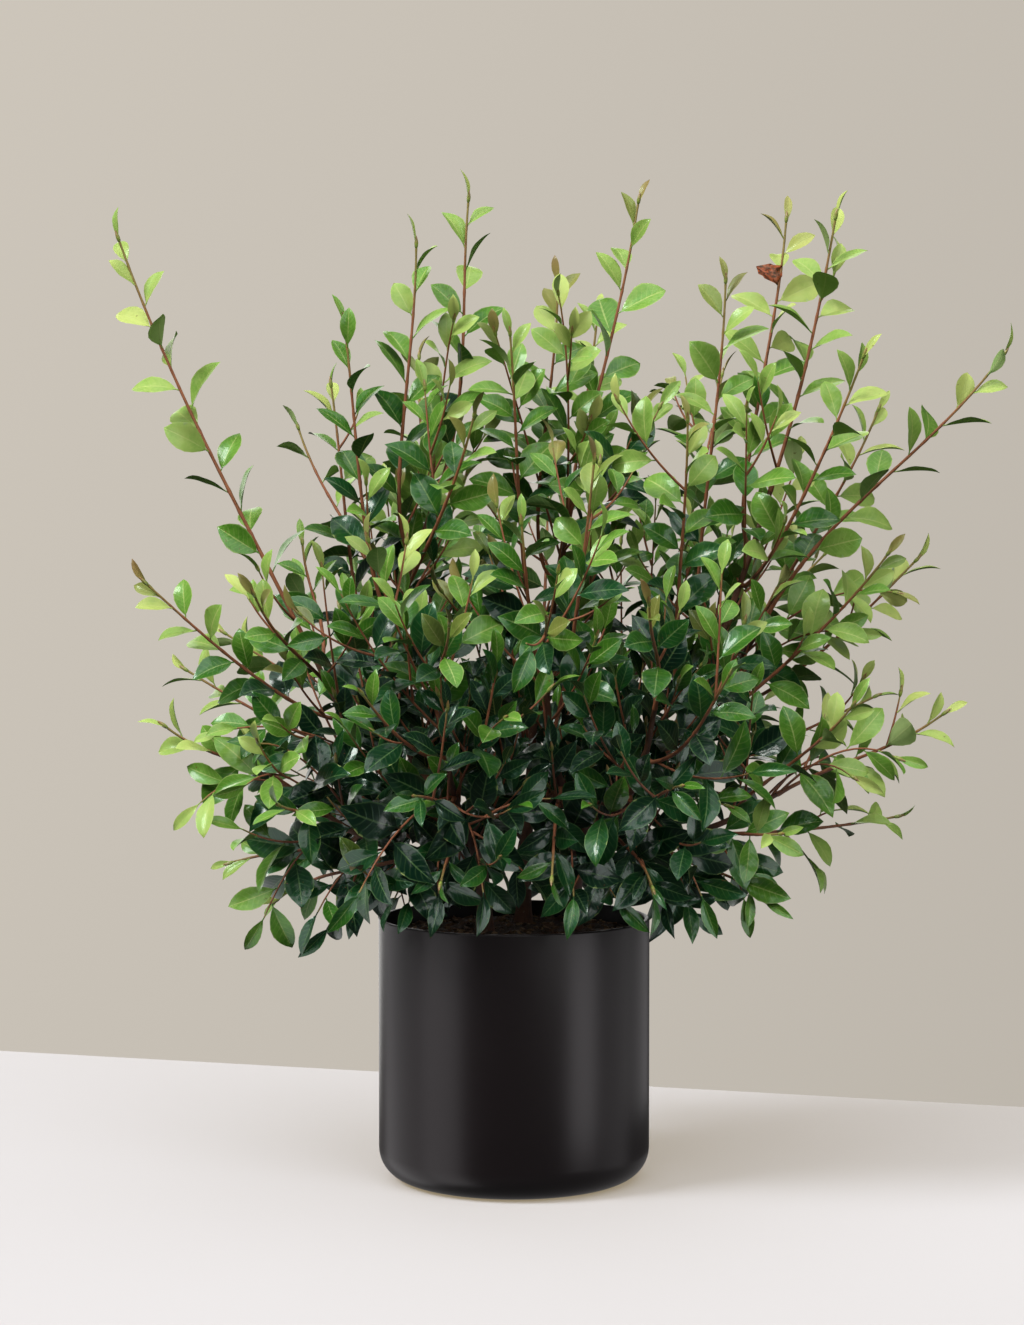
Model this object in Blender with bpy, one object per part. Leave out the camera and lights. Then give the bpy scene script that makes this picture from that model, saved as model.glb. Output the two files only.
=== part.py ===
"""A potted camellia: three trunks with their limbs and leafy stems, in potting mix, in a round planter.

Metres, +Z up. The origin is the middle of the planter's flat base, on the surface that it stands on.
-Y is the side that faces the viewer, and +X is the viewer's right.
"""

import math
import random

import bpy
from mathutils import Quaternion, Vector
from mathutils.bvhtree import BVHTree

# Planter
POT_RADIUS = 0.140
POT_HEIGHT = 0.270
POT_WALL = 0.005
POT_EDGE = 0.032  # radius of the round bottom edge
POT_LIP = 0.0012  # bevel on the lip
POT_SIDES = 48
EDGE_STEPS = 4

# Potting mix
GAP = 0.0003  # clearance between pieces that rest on each other
SOIL_TOP = POT_HEIGHT - 0.018
SOIL_MOUND = 0.006  # how much higher the mix lies round the trunks
SOIL_LUMPS = 0.0015
SOIL_RINGS = 4
HOLE_DEPTH = 0.055

# Wood
TRUNK_SIDES = 8
LIMB_SIDES = 6
STEM_SIDES = 4
UPRIGHT = 0.999  # a line with at least this share of its direction upwards counts as upright
TRUNK_FOOT, TRUNK_FORK = 0.0088, 0.0062  # radii
LIMB_FOOT, LIMB_END = 0.0048, 0.0026
STEM_FOOT, STEM_TIP = 0.0024, 0.0012
CURVE_POINTS = 24
STEM_REACH = 0.36  # handle length of a stem's curve, as a share of its span
LONGEST_HANDLE = 0.05
BAND = 0.0026  # length of stem from which a leaf grows
TIP_LEAF = 0.028  # how far the last leaf reaches past the stem's end
BESIDE = 0.0012  # room kept round a stem
HEEL = 0.006  # straight stretch with which a stem leaves its limb
FORWARDS = 0.8  # how far it then turns the limb's way

# Leaves
BLADE_HALF = 0.0006  # half the thickness at the midrib
LEAF_ROOM = 0.0007  # room kept round a leaf
LOW_STATION, HIGH_STATION = 0.32, 0.70  # where the blade is cut across, as shares of its length
LOW_WIDTH, HIGH_WIDTH = 0.90, 0.88  # and how wide it is there
LEAF_EVERY = 0.034  # distance between the leaves that are modelled; the plant has at least twice as many
YOUNG_LEAVES = 5  # how many leaves at a stem's end are still small
SPIRAL = math.radians(137.5)
CELL = 0.05  # size of the cells in which placed solids are found again

YOUNG_SHARE = 0.65  # how long the youngest leaf is, as a share of a grown one
YOUNG_CLOSED = 24  # by how many degrees the youngest leaf stands closer to the stem
LAST_ANGLE = 8  # degrees between the stem and the leaf at its end
INWARD = 0.5  # how far leaves keep their upper sides to the stem
TO_SKY, TO_FRONT, TO_SIDE = 0.45, 0.75, 0.6  # and how far they turn them to the light
FRONT_UP_TO, BEHIND_FROM = 0.08, 0.26  # between these depths the leaves turn from the front to the back
SCATTER = 0.45  # how far each one strays from that
FLATTENED = 0.4  # how far a shoot's leaves leave the light free for those behind them
ANGLE_SPREAD = 9
ARCH = (0.06, 0.20)
FOLD = (0.12, 0.34)
FREE_FROM = 0.16  # share of a leaf from which on it stays clear of other leaves

# Each habit: distance between leaves, their length, their width as a share of that, the angle at which
# they stand off the stem, how far they droop, and the share of the stem that bears none
HABITS = {
    "open": dict(spacing=0.023, length=0.050, width=0.66, angle=40, droop=0.00, bare=0.10),
    "bushy": dict(spacing=0.0165, length=0.048, width=0.63, angle=48, droop=0.08, bare=0.16),
    "low": dict(spacing=0.0165, length=0.053, width=0.52, angle=62, droop=0.45, bare=0.16),
}

# Each trunk: where it stands in the mix, and the points that it passes above it
TRUNKS = {
    "trunk_left": [(-0.030, -0.015), (-0.033, -0.018, 0.315), (-0.045, -0.020, 0.375)],
    "trunk_right": [(0.062, 0.012), (0.066, 0.012, 0.325), (0.076, 0.010, 0.380)],
    "trunk_back": [(0.010, 0.058), (0.012, 0.062, 0.330), (0.016, 0.066, 0.395)],
}

# Each limb: its trunk, and the points that it passes, the first of them inside the trunk
LIMBS = {
    "far_left": (
        "trunk_left",
        [
            (-0.039, -0.019, 0.345),
            (-0.105, -0.036, 0.400),
            (-0.165, -0.046, 0.470),
            (-0.205, -0.050, 0.545),
        ],
    ),
    "left_low": (
        "trunk_left",
        [
            (-0.033, -0.018, 0.312),
            (-0.100, -0.055, 0.338),
            (-0.165, -0.080, 0.368),
            (-0.215, -0.090, 0.405),
        ],
    ),
    "left_up": (
        "trunk_left",
        [
            (-0.045, -0.020, 0.372),
            (-0.100, -0.010, 0.425),
            (-0.126, 0.000, 0.520),
            (-0.113, 0.008, 0.610),
            (-0.085, 0.015, 0.690),
        ],
    ),
    "front_left": (
        "trunk_left",
        [
            (-0.036, -0.019, 0.330),
            (-0.052, -0.075, 0.375),
            (-0.066, -0.120, 0.435),
            (-0.072, -0.150, 0.500),
        ],
    ),
    "right_up": (
        "trunk_right",
        [
            (0.075, 0.010, 0.375),
            (0.130, 0.000, 0.420),
            (0.185, -0.010, 0.500),
            (0.230, -0.015, 0.610),
            (0.262, -0.020, 0.710),
        ],
    ),
    "far_right": (
        "trunk_right",
        [(0.071, 0.011, 0.355), (0.140, 0.040, 0.410), (0.210, 0.052, 0.490), (0.265, 0.050, 0.580)],
    ),
    "right_low": (
        "trunk_right",
        [(0.065, 0.012, 0.318), (0.140, -0.012, 0.345), (0.210, -0.024, 0.368), (0.270, -0.030, 0.400)],
    ),
    "front_right": (
        "trunk_right",
        [(0.068, 0.012, 0.335), (0.100, -0.055, 0.375), (0.126, -0.110, 0.430), (0.138, -0.150, 0.495)],
    ),
    "mid_front": (
        "trunk_right",
        [(0.072, 0.011, 0.362), (0.048, -0.055, 0.410), (0.036, -0.110, 0.470), (0.030, -0.150, 0.535)],
    ),
    "mid_up": (
        "trunk_back",
        [(0.016, 0.066, 0.392), (0.022, 0.058, 0.480), (0.038, 0.048, 0.570), (0.055, 0.040, 0.665)],
    ),
    "back_left": (
        "trunk_back",
        [(0.013, 0.063, 0.345), (-0.050, 0.105, 0.410), (-0.100, 0.135, 0.490), (-0.135, 0.150, 0.580)],
    ),
    "back_right": (
        "trunk_back",
        [(0.014, 0.065, 0.365), (0.080, 0.115, 0.425), (0.130, 0.145, 0.505), (0.165, 0.160, 0.600)],
    ),
    "back": (
        "trunk_back",
        [(0.012, 0.062, 0.322), (0.018, 0.120, 0.365), (0.025, 0.170, 0.430), (0.030, 0.200, 0.515)],
    ),
}

# Each leafy stem: its limb, how far along the limb it starts (1 is the limb's end), its tip, how much
# it turns up (or down) towards its tip, and its habit
LEAFY_STEMS = [
    ("far_left", 1.00, (-0.408, -0.040, 0.986), 0.25, "open"),
    ("far_left", 0.72, (-0.385, -0.095, 0.633), 0.20, "bushy"),
    ("far_left", 0.88, (-0.260, -0.175, 0.625), 0.45, "bushy"),
    ("far_left", 0.55, (-0.360, 0.020, 0.537), 0.15, "bushy"),
    ("far_left", 0.95, (-0.220, 0.010, 0.680), 0.60, "bushy"),
    ("left_low", 1.00, (-0.365, -0.120, 0.490), 0.20, "bushy"),
    ("left_low", 0.62, (-0.310, -0.050, 0.325), -0.05, "bushy"),
    ("left_low", 0.38, (-0.262, -0.010, 0.275), -0.30, "low"),
    ("left_low", 0.82, (-0.235, -0.215, 0.410), 0.10, "low"),
    ("left_up", 1.00, (-0.045, 0.030, 1.035), 0.40, "open"),
    ("left_up", 0.86, (-0.100, -0.005, 0.985), 0.50, "open"),
    ("left_up", 0.66, (-0.176, -0.025, 0.906), 0.40, "open"),
    ("left_up", 0.50, (-0.195, 0.060, 0.845), 0.40, "bushy"),
    ("left_up", 0.74, (-0.034, -0.120, 0.805), 0.50, "bushy"),
    ("front_left", 1.00, (-0.060, -0.265, 0.600), 0.40, "bushy"),
    ("front_left", 0.72, (-0.155, -0.250, 0.530), 0.30, "bushy"),
    ("front_left", 0.50, (-0.100, -0.280, 0.420), 0.00, "low"),
    ("front_left", 0.30, (-0.075, -0.200, 0.310), -0.35, "low"),
    ("mid_front", 1.00, (0.030, -0.300, 0.600), 0.30, "bushy"),
    ("mid_front", 0.84, (0.005, -0.190, 0.700), 0.60, "bushy"),
    ("mid_front", 0.66, (0.080, -0.170, 0.760), 0.55, "bushy"),
    ("mid_front", 0.34, (0.035, -0.215, 0.315), -0.40, "low"),
    ("front_right", 1.00, (0.125, -0.285, 0.620), 0.40, "bushy"),
    ("front_right", 0.74, (0.215, -0.245, 0.550), 0.30, "bushy"),
    ("front_right", 0.52, (0.165, -0.270, 0.430), 0.00, "low"),
    ("front_right", 0.32, (0.140, -0.195, 0.305), -0.35, "low"),
    ("right_up", 1.00, (0.330, -0.030, 1.010), 0.35, "bushy"),
    ("right_up", 0.86, (0.284, 0.040, 1.015), 0.40, "bushy"),
    ("right_up", 0.76, (0.356, -0.095, 0.865), 0.35, "bushy"),
    ("right_up", 0.60, (0.214, -0.045, 0.945), 0.50, "bushy"),
    ("right_up", 0.46, (0.170, -0.140, 0.800), 0.50, "bushy"),
    ("far_right", 1.00, (0.520, 0.020, 0.870), 0.15, "open"),
    ("far_right", 0.84, (0.395, 0.100, 0.820), 0.35, "bushy"),
    ("far_right", 0.66, (0.440, 0.070, 0.655), 0.25, "bushy"),
    ("far_right", 0.50, (0.392, -0.055, 0.665), 0.30, "bushy"),
    ("far_right", 0.34, (0.410, 0.140, 0.500), 0.10, "bushy"),
    ("right_low", 1.00, (0.460, -0.020, 0.496), 0.20, "bushy"),
    ("right_low", 0.76, (0.345, -0.150, 0.515), 0.20, "bushy"),
    ("right_low", 0.60, (0.425, 0.060, 0.372), 0.10, "bushy"),
    ("right_low", 0.40, (0.265, -0.110, 0.285), -0.25, "low"),
    ("right_low", 0.56, (0.265, -0.225, 0.380), 0.05, "low"),
    ("mid_up", 1.00, (0.133, 0.045, 1.035), 0.40, "open"),
    ("mid_up", 0.84, (0.045, 0.015, 0.950), 0.50, "bushy"),
    ("mid_up", 0.62, (-0.006, -0.065, 0.890), 0.50, "bushy"),
    ("mid_up", 0.74, (0.092, 0.125, 0.925), 0.40, "bushy"),
    ("back_left", 1.00, (-0.245, 0.220, 0.805), 0.40, "bushy"),
    ("back_left", 0.74, (-0.105, 0.250, 0.885), 0.50, "bushy"),
    ("back_left", 0.50, (-0.335, 0.180, 0.570), 0.15, "bushy"),
    ("back_left", 0.32, (-0.210, 0.285, 0.415), -0.05, "low"),
    ("back_right", 1.00, (0.235, 0.245, 0.865), 0.40, "bushy"),
    ("back_right", 0.64, (0.360, 0.225, 0.660), 0.25, "bushy"),
    ("back_right", 0.38, (0.290, 0.255, 0.415), -0.05, "low"),
    ("back", 1.00, (0.040, 0.335, 0.740), 0.40, "bushy"),
    ("back", 0.66, (-0.060, 0.350, 0.520), 0.15, "low"),
    ("back", 0.36, (0.060, 0.300, 0.325), -0.30, "low"),
]

# Handle shifts tried in turn when a stem would run into another one
BOWS = [Vector((0, 0, 0))] + [
    Vector(axis) * sign * size
    for size in (0.012, 0.024, 0.036)
    for axis in ((1, 0, 0), (0, 1, 0), (0, 0, 1))
    for sign in (1, -1)
]
# Turns round the stem and changes of opening angle, in degrees, tried in turn to bend a leaf clear
TURNS = [
    (0, 0),
    (22, 0),
    (-22, 0),
    (0, 14),
    (0, -14),
    (45, 0),
    (-45, 0),
    (30, 14),
    (-30, 14),
    (75, 0),
    (-75, 0),
]


class Room:
    """The solids placed so far, found again by where they are, so that new growth is bent clear of them."""

    def __init__(self):
        self.cells = {}

    def cells_of(self, points):
        lows = [math.floor(min(p[i] for p in points) / CELL) for i in range(3)]
        highs = [math.floor(max(p[i] for p in points) / CELL) for i in range(3)]
        for x in range(lows[0], highs[0] + 1):
            for y in range(lows[1], highs[1] + 1):
                for z in range(lows[2], highs[2] + 1):
                    yield x, y, z

    def add(self, points, faces, owner=None):
        entry = (BVHTree.FromPolygons(points, faces), owner)
        for cell in self.cells_of(points):
            self.cells.setdefault(cell, []).append(entry)

    def add_tube(self, points, radii, sides, owner=None):
        for i in range(len(points) - 1):
            self.add(*tube(points[i : i + 2], radii[i : i + 2], sides), owner)

    def is_clear(self, points, faces, but=None):
        tree = BVHTree.FromPolygons(points, faces)
        tested = set()
        for cell in self.cells_of(points):
            for entry in self.cells.get(cell, ()):
                other, owner = entry
                if id(other) in tested or (but is not None and owner == but):
                    continue
                tested.add(id(other))
                if tree.overlap(other):
                    return False
        return True


def material(name, colour, roughness):
    made = bpy.data.materials.new(name)
    made.use_nodes = True
    shader = made.node_tree.nodes["Principled BSDF"]
    shader.inputs["Base Color"].default_value = (*colour, 1.0)
    shader.inputs["Roughness"].default_value = roughness
    shader.inputs["Metallic"].default_value = 0.0
    made.diffuse_color = (*colour, 1.0)
    return made


def solid(name, points, faces, finish):
    mesh = bpy.data.meshes.new(name)
    mesh.from_pydata([tuple(p) for p in points], [], faces)
    mesh.update()
    mesh.materials.append(finish)
    made = bpy.data.objects.new(name, mesh)
    bpy.context.scene.collection.objects.link(made)
    return made


def combined(body, others, operation):
    """body with the other objects joined to it or cut from it, by one Boolean on their collection."""
    tools = bpy.data.collections.new(body.name + "_tools")
    bpy.context.scene.collection.children.link(tools)
    for other in others:
        bpy.context.scene.collection.objects.unlink(other)
        tools.objects.link(other)
    modifier = body.modifiers.new("combine", "BOOLEAN")
    modifier.operation = operation
    modifier.operand_type = "COLLECTION"
    modifier.collection = tools
    modifier.solver = "EXACT"
    graph = bpy.context.evaluated_depsgraph_get()
    mesh = bpy.data.meshes.new_from_object(body.evaluated_get(graph))
    body.modifiers.clear()
    body.data = mesh
    mesh.name = body.name
    for other in others:
        bpy.data.objects.remove(other)
    bpy.data.collections.remove(tools)
    return body


def turned(profile, sides):
    """Points and faces of a solid turned about Z. The profile is (radius, height), from axis to axis."""
    points, rings = [], []
    for radius, height in profile:
        start = len(points)
        if radius == 0:
            points.append(Vector((0, 0, height)))
            rings.append([start] * sides)
            continue
        for i in range(sides):
            angle = math.tau * i / sides
            points.append(Vector((radius * math.cos(angle), radius * math.sin(angle), height)))
        rings.append(list(range(start, start + sides)))
    faces = []
    for lower, upper in zip(rings, rings[1:]):
        for i in range(sides):
            j = (i + 1) % sides
            corners = [lower[i], lower[j], upper[j], upper[i]]
            faces.append(list(dict.fromkeys(corners)))
    return points, faces


def edge_arc(radius, edge, base, steps):
    """The round bottom edge of a turned form, from its flat base out and up to its side."""
    middle = radius - edge
    turns = [math.pi / 2 * i / steps for i in range(steps + 1)]
    return [(middle + edge * math.sin(a), base + edge - edge * math.cos(a)) for a in turns]


def planter(finish):
    outer = edge_arc(POT_RADIUS, POT_EDGE, 0.0, EDGE_STEPS)
    inner_radius = POT_RADIUS - POT_WALL
    inner = edge_arc(inner_radius, POT_EDGE - POT_WALL, POT_WALL, EDGE_STEPS)
    lip = [
        (POT_RADIUS, POT_HEIGHT - POT_LIP),
        (POT_RADIUS - POT_LIP, POT_HEIGHT),
        (inner_radius + POT_LIP, POT_HEIGHT),
        (inner_radius, POT_HEIGHT - POT_LIP),
    ]
    profile = [(0.0, 0.0), *outer, *lip, *reversed(inner), (0.0, POT_WALL)]
    made = solid("planter", *turned(profile, POT_SIDES), finish)
    made.data.shade_smooth()
    made.data.set_sharp_from_angle(angle=math.radians(40))
    return made


def soil_height(x, y):
    """The top of the potting mix: a low mound with a few lumps."""
    share = min(1.0, math.hypot(x, y) / POT_RADIUS)
    lumps = math.sin(61 * x + 1.3) * math.cos(47 * y) + 0.6 * math.sin(97 * y + 40 * x)
    return SOIL_TOP + SOIL_MOUND * (1 - share**2) + SOIL_LUMPS * lumps * (1 - share**4)


def potting_mix(trunk_feet, finish):
    """The mix fills the planter up to its top surface, with a plain hole for each trunk."""
    radius = POT_RADIUS - POT_WALL - GAP
    edge = edge_arc(radius, POT_EDGE - POT_WALL - GAP, POT_WALL + GAP, EDGE_STEPS)
    rings = [(radius * (1 - i / SOIL_RINGS), SOIL_TOP) for i in range(SOIL_RINGS + 1)]
    points, faces = turned([(0.0, POT_WALL + GAP), *edge, *rings], POT_SIDES)
    top = [p for p in points if p.z == SOIL_TOP]
    for p in top:
        p.z = soil_height(p.x, p.y)
    body = solid("potting_mix", points, faces, finish)
    holes = []
    for x, y in trunk_feet:
        low = Vector((x, y, SOIL_TOP - HOLE_DEPTH - GAP))
        high = Vector((x, y, POT_HEIGHT + SOIL_MOUND))
        wide = TRUNK_FOOT + GAP / math.cos(math.pi / TRUNK_SIDES)
        holes.append(solid("hole", *tube([low, high], [wide, wide], TRUNK_SIDES), finish))
    return combined(body, holes, "DIFFERENCE")


def smooth_line(points, count):
    """count points along a smooth curve through the given ones."""
    ends = [points[0] * 2 - points[1], *points, points[-1] * 2 - points[-2]]
    spans = len(points) - 1
    line = []
    for i in range(count):
        place = i / (count - 1) * spans
        k = min(int(place), spans - 1)
        t = place - k
        a, b, c, d = ends[k : k + 4]
        line.append(
            0.5 * (2 * b + (c - a) * t + (2 * a - 5 * b + 4 * c - d) * t**2 + (3 * b - a - 3 * c + d) * t**3)
        )
    return line


def along(line, share):
    """The point and the direction at that share of a line of points."""
    place = max(0.0, min(1.0, share)) * (len(line) - 1)
    k = min(int(place), len(line) - 2)
    return line[k].lerp(line[k + 1], place - k), (line[k + 1] - line[k]).normalized()


def tube(points, radii, sides):
    """Points and faces of a closed tube along a line, with flat ends."""
    count = len(points)
    tangents = [(points[min(i + 1, count - 1)] - points[max(i - 1, 0)]).normalized() for i in range(count)]
    side = tangents[0].orthogonal().normalized()
    if abs(tangents[0].z) > UPRIGHT:
        side = Vector((1, 0, 0))
    rings, verts = [], []
    for i in range(count):
        if i:
            side = tangents[i - 1].rotation_difference(tangents[i]) @ side
        other = tangents[i].cross(side)
        start = len(verts)
        for j in range(sides):
            angle = math.tau * j / sides
            verts.append(points[i] + (side * math.cos(angle) + other * math.sin(angle)) * radii[i])
        rings.append(list(range(start, start + sides)))
    faces = [list(reversed(rings[0])), rings[-1]]
    for low, high in zip(rings, rings[1:]):
        for j in range(sides):
            k = (j + 1) % sides
            faces.append([low[j], low[k], high[k], high[j]])
    return verts, faces


def taper(foot, end, count):
    return [foot + (end - foot) * i / (count - 1) for i in range(count)]


def trunk_line(name):
    (x, y), *above = TRUNKS[name]
    buried = [Vector((x, y, SOIL_TOP - HOLE_DEPTH)), Vector((x, y, SOIL_TOP + 2 * SOIL_MOUND))]
    return buried + [Vector(p) for p in above]


def limb_line(name):
    points = [Vector(p) for p in LIMBS[name][1]]
    return smooth_line(points, 2 * len(points) - 1)


def grow_wood(name, room, finish):
    """A trunk and the limbs that grew from it, as one body."""
    line = trunk_line(name)
    radii = [TRUNK_FOOT, TRUNK_FOOT, (TRUNK_FOOT + TRUNK_FORK) / 2, TRUNK_FORK]
    trunk = solid(name, *tube(line, radii, TRUNK_SIDES), finish)
    room.add_tube(line, radii, TRUNK_SIDES, name)
    limbs = []
    for limb, (trunk_name, _) in LIMBS.items():
        if trunk_name != name:
            continue
        path = limb_line(limb)
        radii = taper(LIMB_FOOT, LIMB_END, len(path))
        limbs.append(solid(limb, *tube(path, radii, LIMB_SIDES), finish))
        room.add_tube(path, radii, LIMB_SIDES, name)
    return combined(trunk, limbs, "UNION")


def stem_curve(limb, share, tip, lift, bow):
    """Points close together on the centre line of a leafy stem, from just off its limb to its end."""
    path = limb_line(limb)
    on_limb, limb_way = along(path, share)
    way = Vector(tip) - on_limb
    if share == 1:
        out, start = limb_way, on_limb + limb_way * GAP
    else:
        radius = LIMB_FOOT + (LIMB_END - LIMB_FOOT) * share
        out = (way - limb_way * way.dot(limb_way)).normalized()
        start = on_limb + out * (radius + GAP)
    end_way = (way.normalized() + Vector((0, 0, lift))).normalized()
    end = Vector(tip) - end_way * TIP_LEAF
    span = (end - start).length
    heel = start + out * HEEL
    forwards = (out + limb_way * FORWARDS).normalized()
    handle_a = heel + forwards * min(span * STEM_REACH, LONGEST_HANDLE)
    if share == 1:
        handle_a = heel + out * span * STEM_REACH + bow
    handle_b = end - end_way * span * STEM_REACH + bow
    line = [start]
    for i in range(CURVE_POINTS):
        t = i / (CURVE_POINTS - 1)
        s = 1 - t
        line.append(heel * s**3 + handle_a * 3 * s * s * t + handle_b * 3 * s * t * t + end * t**3)
    return line


def lengths_along(line):
    """How far along the line each of its points lies."""
    far = [0.0]
    for a, b in zip(line, line[1:]):
        far.append(far[-1] + (b - a).length)
    return far


def at_length(line, far, wanted):
    """The point and the direction that far along the line."""
    wanted = max(0.0, min(far[-1], wanted))
    k = 0
    while k < len(far) - 2 and far[k + 1] < wanted:
        k += 1
    share = (wanted - far[k]) / (far[k + 1] - far[k])
    return line[k].lerp(line[k + 1], share), (line[k + 1] - line[k]).normalized()


def leaf_spots(far, habit, name):
    """Every place on a stem that bears a leaf, from its end down: its number, how far along, what turn."""
    spacing = HABITS[habit]["spacing"]
    bearing = far[-1] * (1 - HABITS[habit]["bare"])
    first = random.Random(name).uniform(0, math.tau)
    return [(i, far[-1] - i * spacing, first + i * SPIRAL) for i in range(int(bearing / spacing))]


def light_at(point):
    """The way that leaves turn their upper sides: up, and out to the side of the plant they are on."""
    behind = max(0.0, min(1.0, (point.y - FRONT_UP_TO) / (BEHIND_FROM - FRONT_UP_TO)))
    return Vector((point.x * TO_SIDE, -TO_FRONT * (1 - 1.7 * behind), TO_SKY))


def leaf_pose(line, far, spot, habit, name, more_turn=0, more_angle=0):
    """Where a leaf is rooted, the way it grows, the way it faces, and its size and shape."""
    number, place, turn = spot
    form = HABITS[habit]
    draw = random.Random(f"{name} {number}")
    root, stem_way = at_length(line, far, place)
    side = stem_way.cross(Vector((0, 0, 1)))
    if side.length < 0.1:
        side = Vector((1, 0, 0))
    out = Quaternion(stem_way, turn + math.radians(more_turn)) @ side.normalized()
    light = light_at(root)
    across = (light - stem_way * light.dot(stem_way)).normalized()
    out = (out - across * out.dot(across) * FLATTENED).normalized()
    young = max(0.0, 1 - number / YOUNG_LEAVES)
    spread = draw.uniform(-ANGLE_SPREAD, ANGLE_SPREAD)
    angle = math.radians(form["angle"] + more_angle + spread - YOUNG_CLOSED * young)
    if number == 0:
        angle = math.radians(LAST_ANGLE)
    way = stem_way * math.cos(angle) + out * math.sin(angle)
    way = (way + Vector((0, 0, -1)) * form["droop"] * (1 - young) * draw.uniform(0.5, 1.2)).normalized()
    inward = stem_way * math.sin(angle) - out * math.cos(angle)
    stray = Vector((draw.uniform(-1, 1), draw.uniform(-1, 1), draw.uniform(-0.5, 0.5))) * SCATTER
    face = inward * INWARD + light + stray
    size = 1 - (1 - YOUNG_SHARE) * young
    length = form["length"] * draw.uniform(0.86, 1.14) * size
    width = length * form["width"] * draw.uniform(0.92, 1.08) * (1 + size) / 2
    arch = draw.uniform(*ARCH)
    fold = draw.uniform(*FOLD)
    if number:
        root = root + out * STEM_TIP
    return root, way, face, length, width, arch, fold


def blade_points(root, way, face, length, width, arch, fold, room_for=0.0):
    """The cross-sections of a leaf: under the midrib, left edge, midrib, right edge, twice, then its tip.

    It is a thin blade, folded along its midrib and arched towards its tip. way is the midrib's
    direction and face the upper side's. room_for makes it that much fatter all round.
    """
    face = (face - way * face.dot(way)).normalized()
    side = way.cross(face)

    def at(share, across, up):
        bend = -arch * length * share**2
        return root + way * (length * share) + side * across + face * (up + bend + fold * abs(across))

    half = BLADE_HALF + room_for
    points = []
    for station, part in ((LOW_STATION, LOW_WIDTH), (HIGH_STATION, HIGH_WIDTH)):
        wide = width / 2 * part + room_for
        points += [at(station, 0, -half), at(station, -wide, 0), at(station, 0, half), at(station, wide, 0)]
    return points + [at(1 + room_for / length, 0, 0)]


def blade_faces(foot, first):
    """Faces of a leaf from its four foot corners on, where first is the number of its first point."""
    low = [first + i for i in range(4)]
    high = [first + 4 + i for i in range(4)]
    tip = first + 8
    faces = []
    for i in range(4):
        j = (i + 1) % 4
        faces.append((foot[i], foot[j], low[i]))
        faces.append((foot[j], low[j], low[i]))
        faces.append((high[i], high[j], tip))
        if i % 2:
            faces.append((low[i], low[j], high[i]))
            faces.append((low[j], high[j], high[i]))
        else:
            faces.append((low[i], low[j], high[j]))
            faces.append((low[i], high[j], high[i]))
    return faces


def blade_test(pose, room_for, start):
    """A closed stand-in for a leaf, fatter by room_for, without the first share of it."""
    root, way, _, length, *_ = pose
    points = blade_points(*pose, room_for=room_for)
    middle = root + way * (length * start)
    corner = [middle.lerp(points[i], 0.1) for i in range(4)]
    return corner + points, [(3, 2, 1, 0), *blade_faces(range(4), 4)]


def chosen_spots(far, habit, name):
    """The spots whose leaves are modelled: the one at the stem's end, and others evenly down the stem."""
    spots = leaf_spots(far, habit, name)
    stride = max(1, round(LEAF_EVERY / HABITS[habit]["spacing"]))
    return spots[::stride]


def stem_rings(line, far, spots):
    """The stem's centre line as modelled, with a short straight band at each leaf, and where they start."""
    lowest = spots[-1][1]
    places = [0.0, HEEL]
    bare = int((lowest - HEEL) / LEAF_EVERY)
    places += [HEEL + (lowest - HEEL) * (i + 1) / (bare + 1) for i in range(bare)]
    bands = {}
    for number, place, _ in reversed(spots[1:]):
        bands[number] = len(places)
        places += [place - BAND / 2, place + BAND / 2]
    places.append(far[-1])
    rings = [at_length(line, far, place)[0] for place in places]
    radii = [STEM_FOOT + (STEM_TIP - STEM_FOOT) * place / far[-1] for place in places]
    return rings, radii, bands


def run_stem(spec, name, room):
    """The first of the stem's curves that stays clear of what already stands there."""
    limb, share, tip, lift, habit = spec
    for bow in BOWS:
        line = stem_curve(limb, share, tip, lift, bow)
        far = lengths_along(line)
        rings, radii, _ = stem_rings(line, far, chosen_spots(far, habit, name))
        wide = [r + BESIDE for r in radii]
        pieces = [tube(rings[i : i + 2], wide[i : i + 2], STEM_SIDES) for i in range(1, len(rings) - 1)]
        if all(room.is_clear(*piece) for piece in pieces):
            room.add_tube(rings, radii, STEM_SIDES, name)
            return line
    raise ValueError(f"{name} on {limb} runs into another stem")


def band_foot(points, rings, start, way):
    """The corners of that side of the stem's band, from ring number start on, that faces the leaf's way."""
    middle = (rings[start] + rings[start + 1]) / 2
    low = start * STEM_SIDES
    feet = []
    for j in range(STEM_SIDES):
        k = (j + 1) % STEM_SIDES
        feet.append([low + j, low + k, low + STEM_SIDES + k, low + STEM_SIDES + j])
    return max(feet, key=lambda foot: (sum((points[v] for v in foot), Vector()) / 4 - middle).dot(way))


def least_twisted(foot, points, leaf):
    """The foot's corners, started from the one that leads to the leaf with the least twist."""
    def twist(turn):
        return sum((points[foot[(i + turn) % 4]] - leaf[i]).length for i in range(4))

    turn = min(range(4), key=twist)
    return foot[turn:] + foot[:turn]


def runs_through(points, faces, added):
    """Whether an added face runs through any face that it shares no corner with."""
    every = faces + added
    pairs = BVHTree.FromPolygons(points, added).overlap(BVHTree.FromPolygons(points, every))
    return any(not set(added[i]) & set(every[j]) for i, j in pairs)


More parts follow.
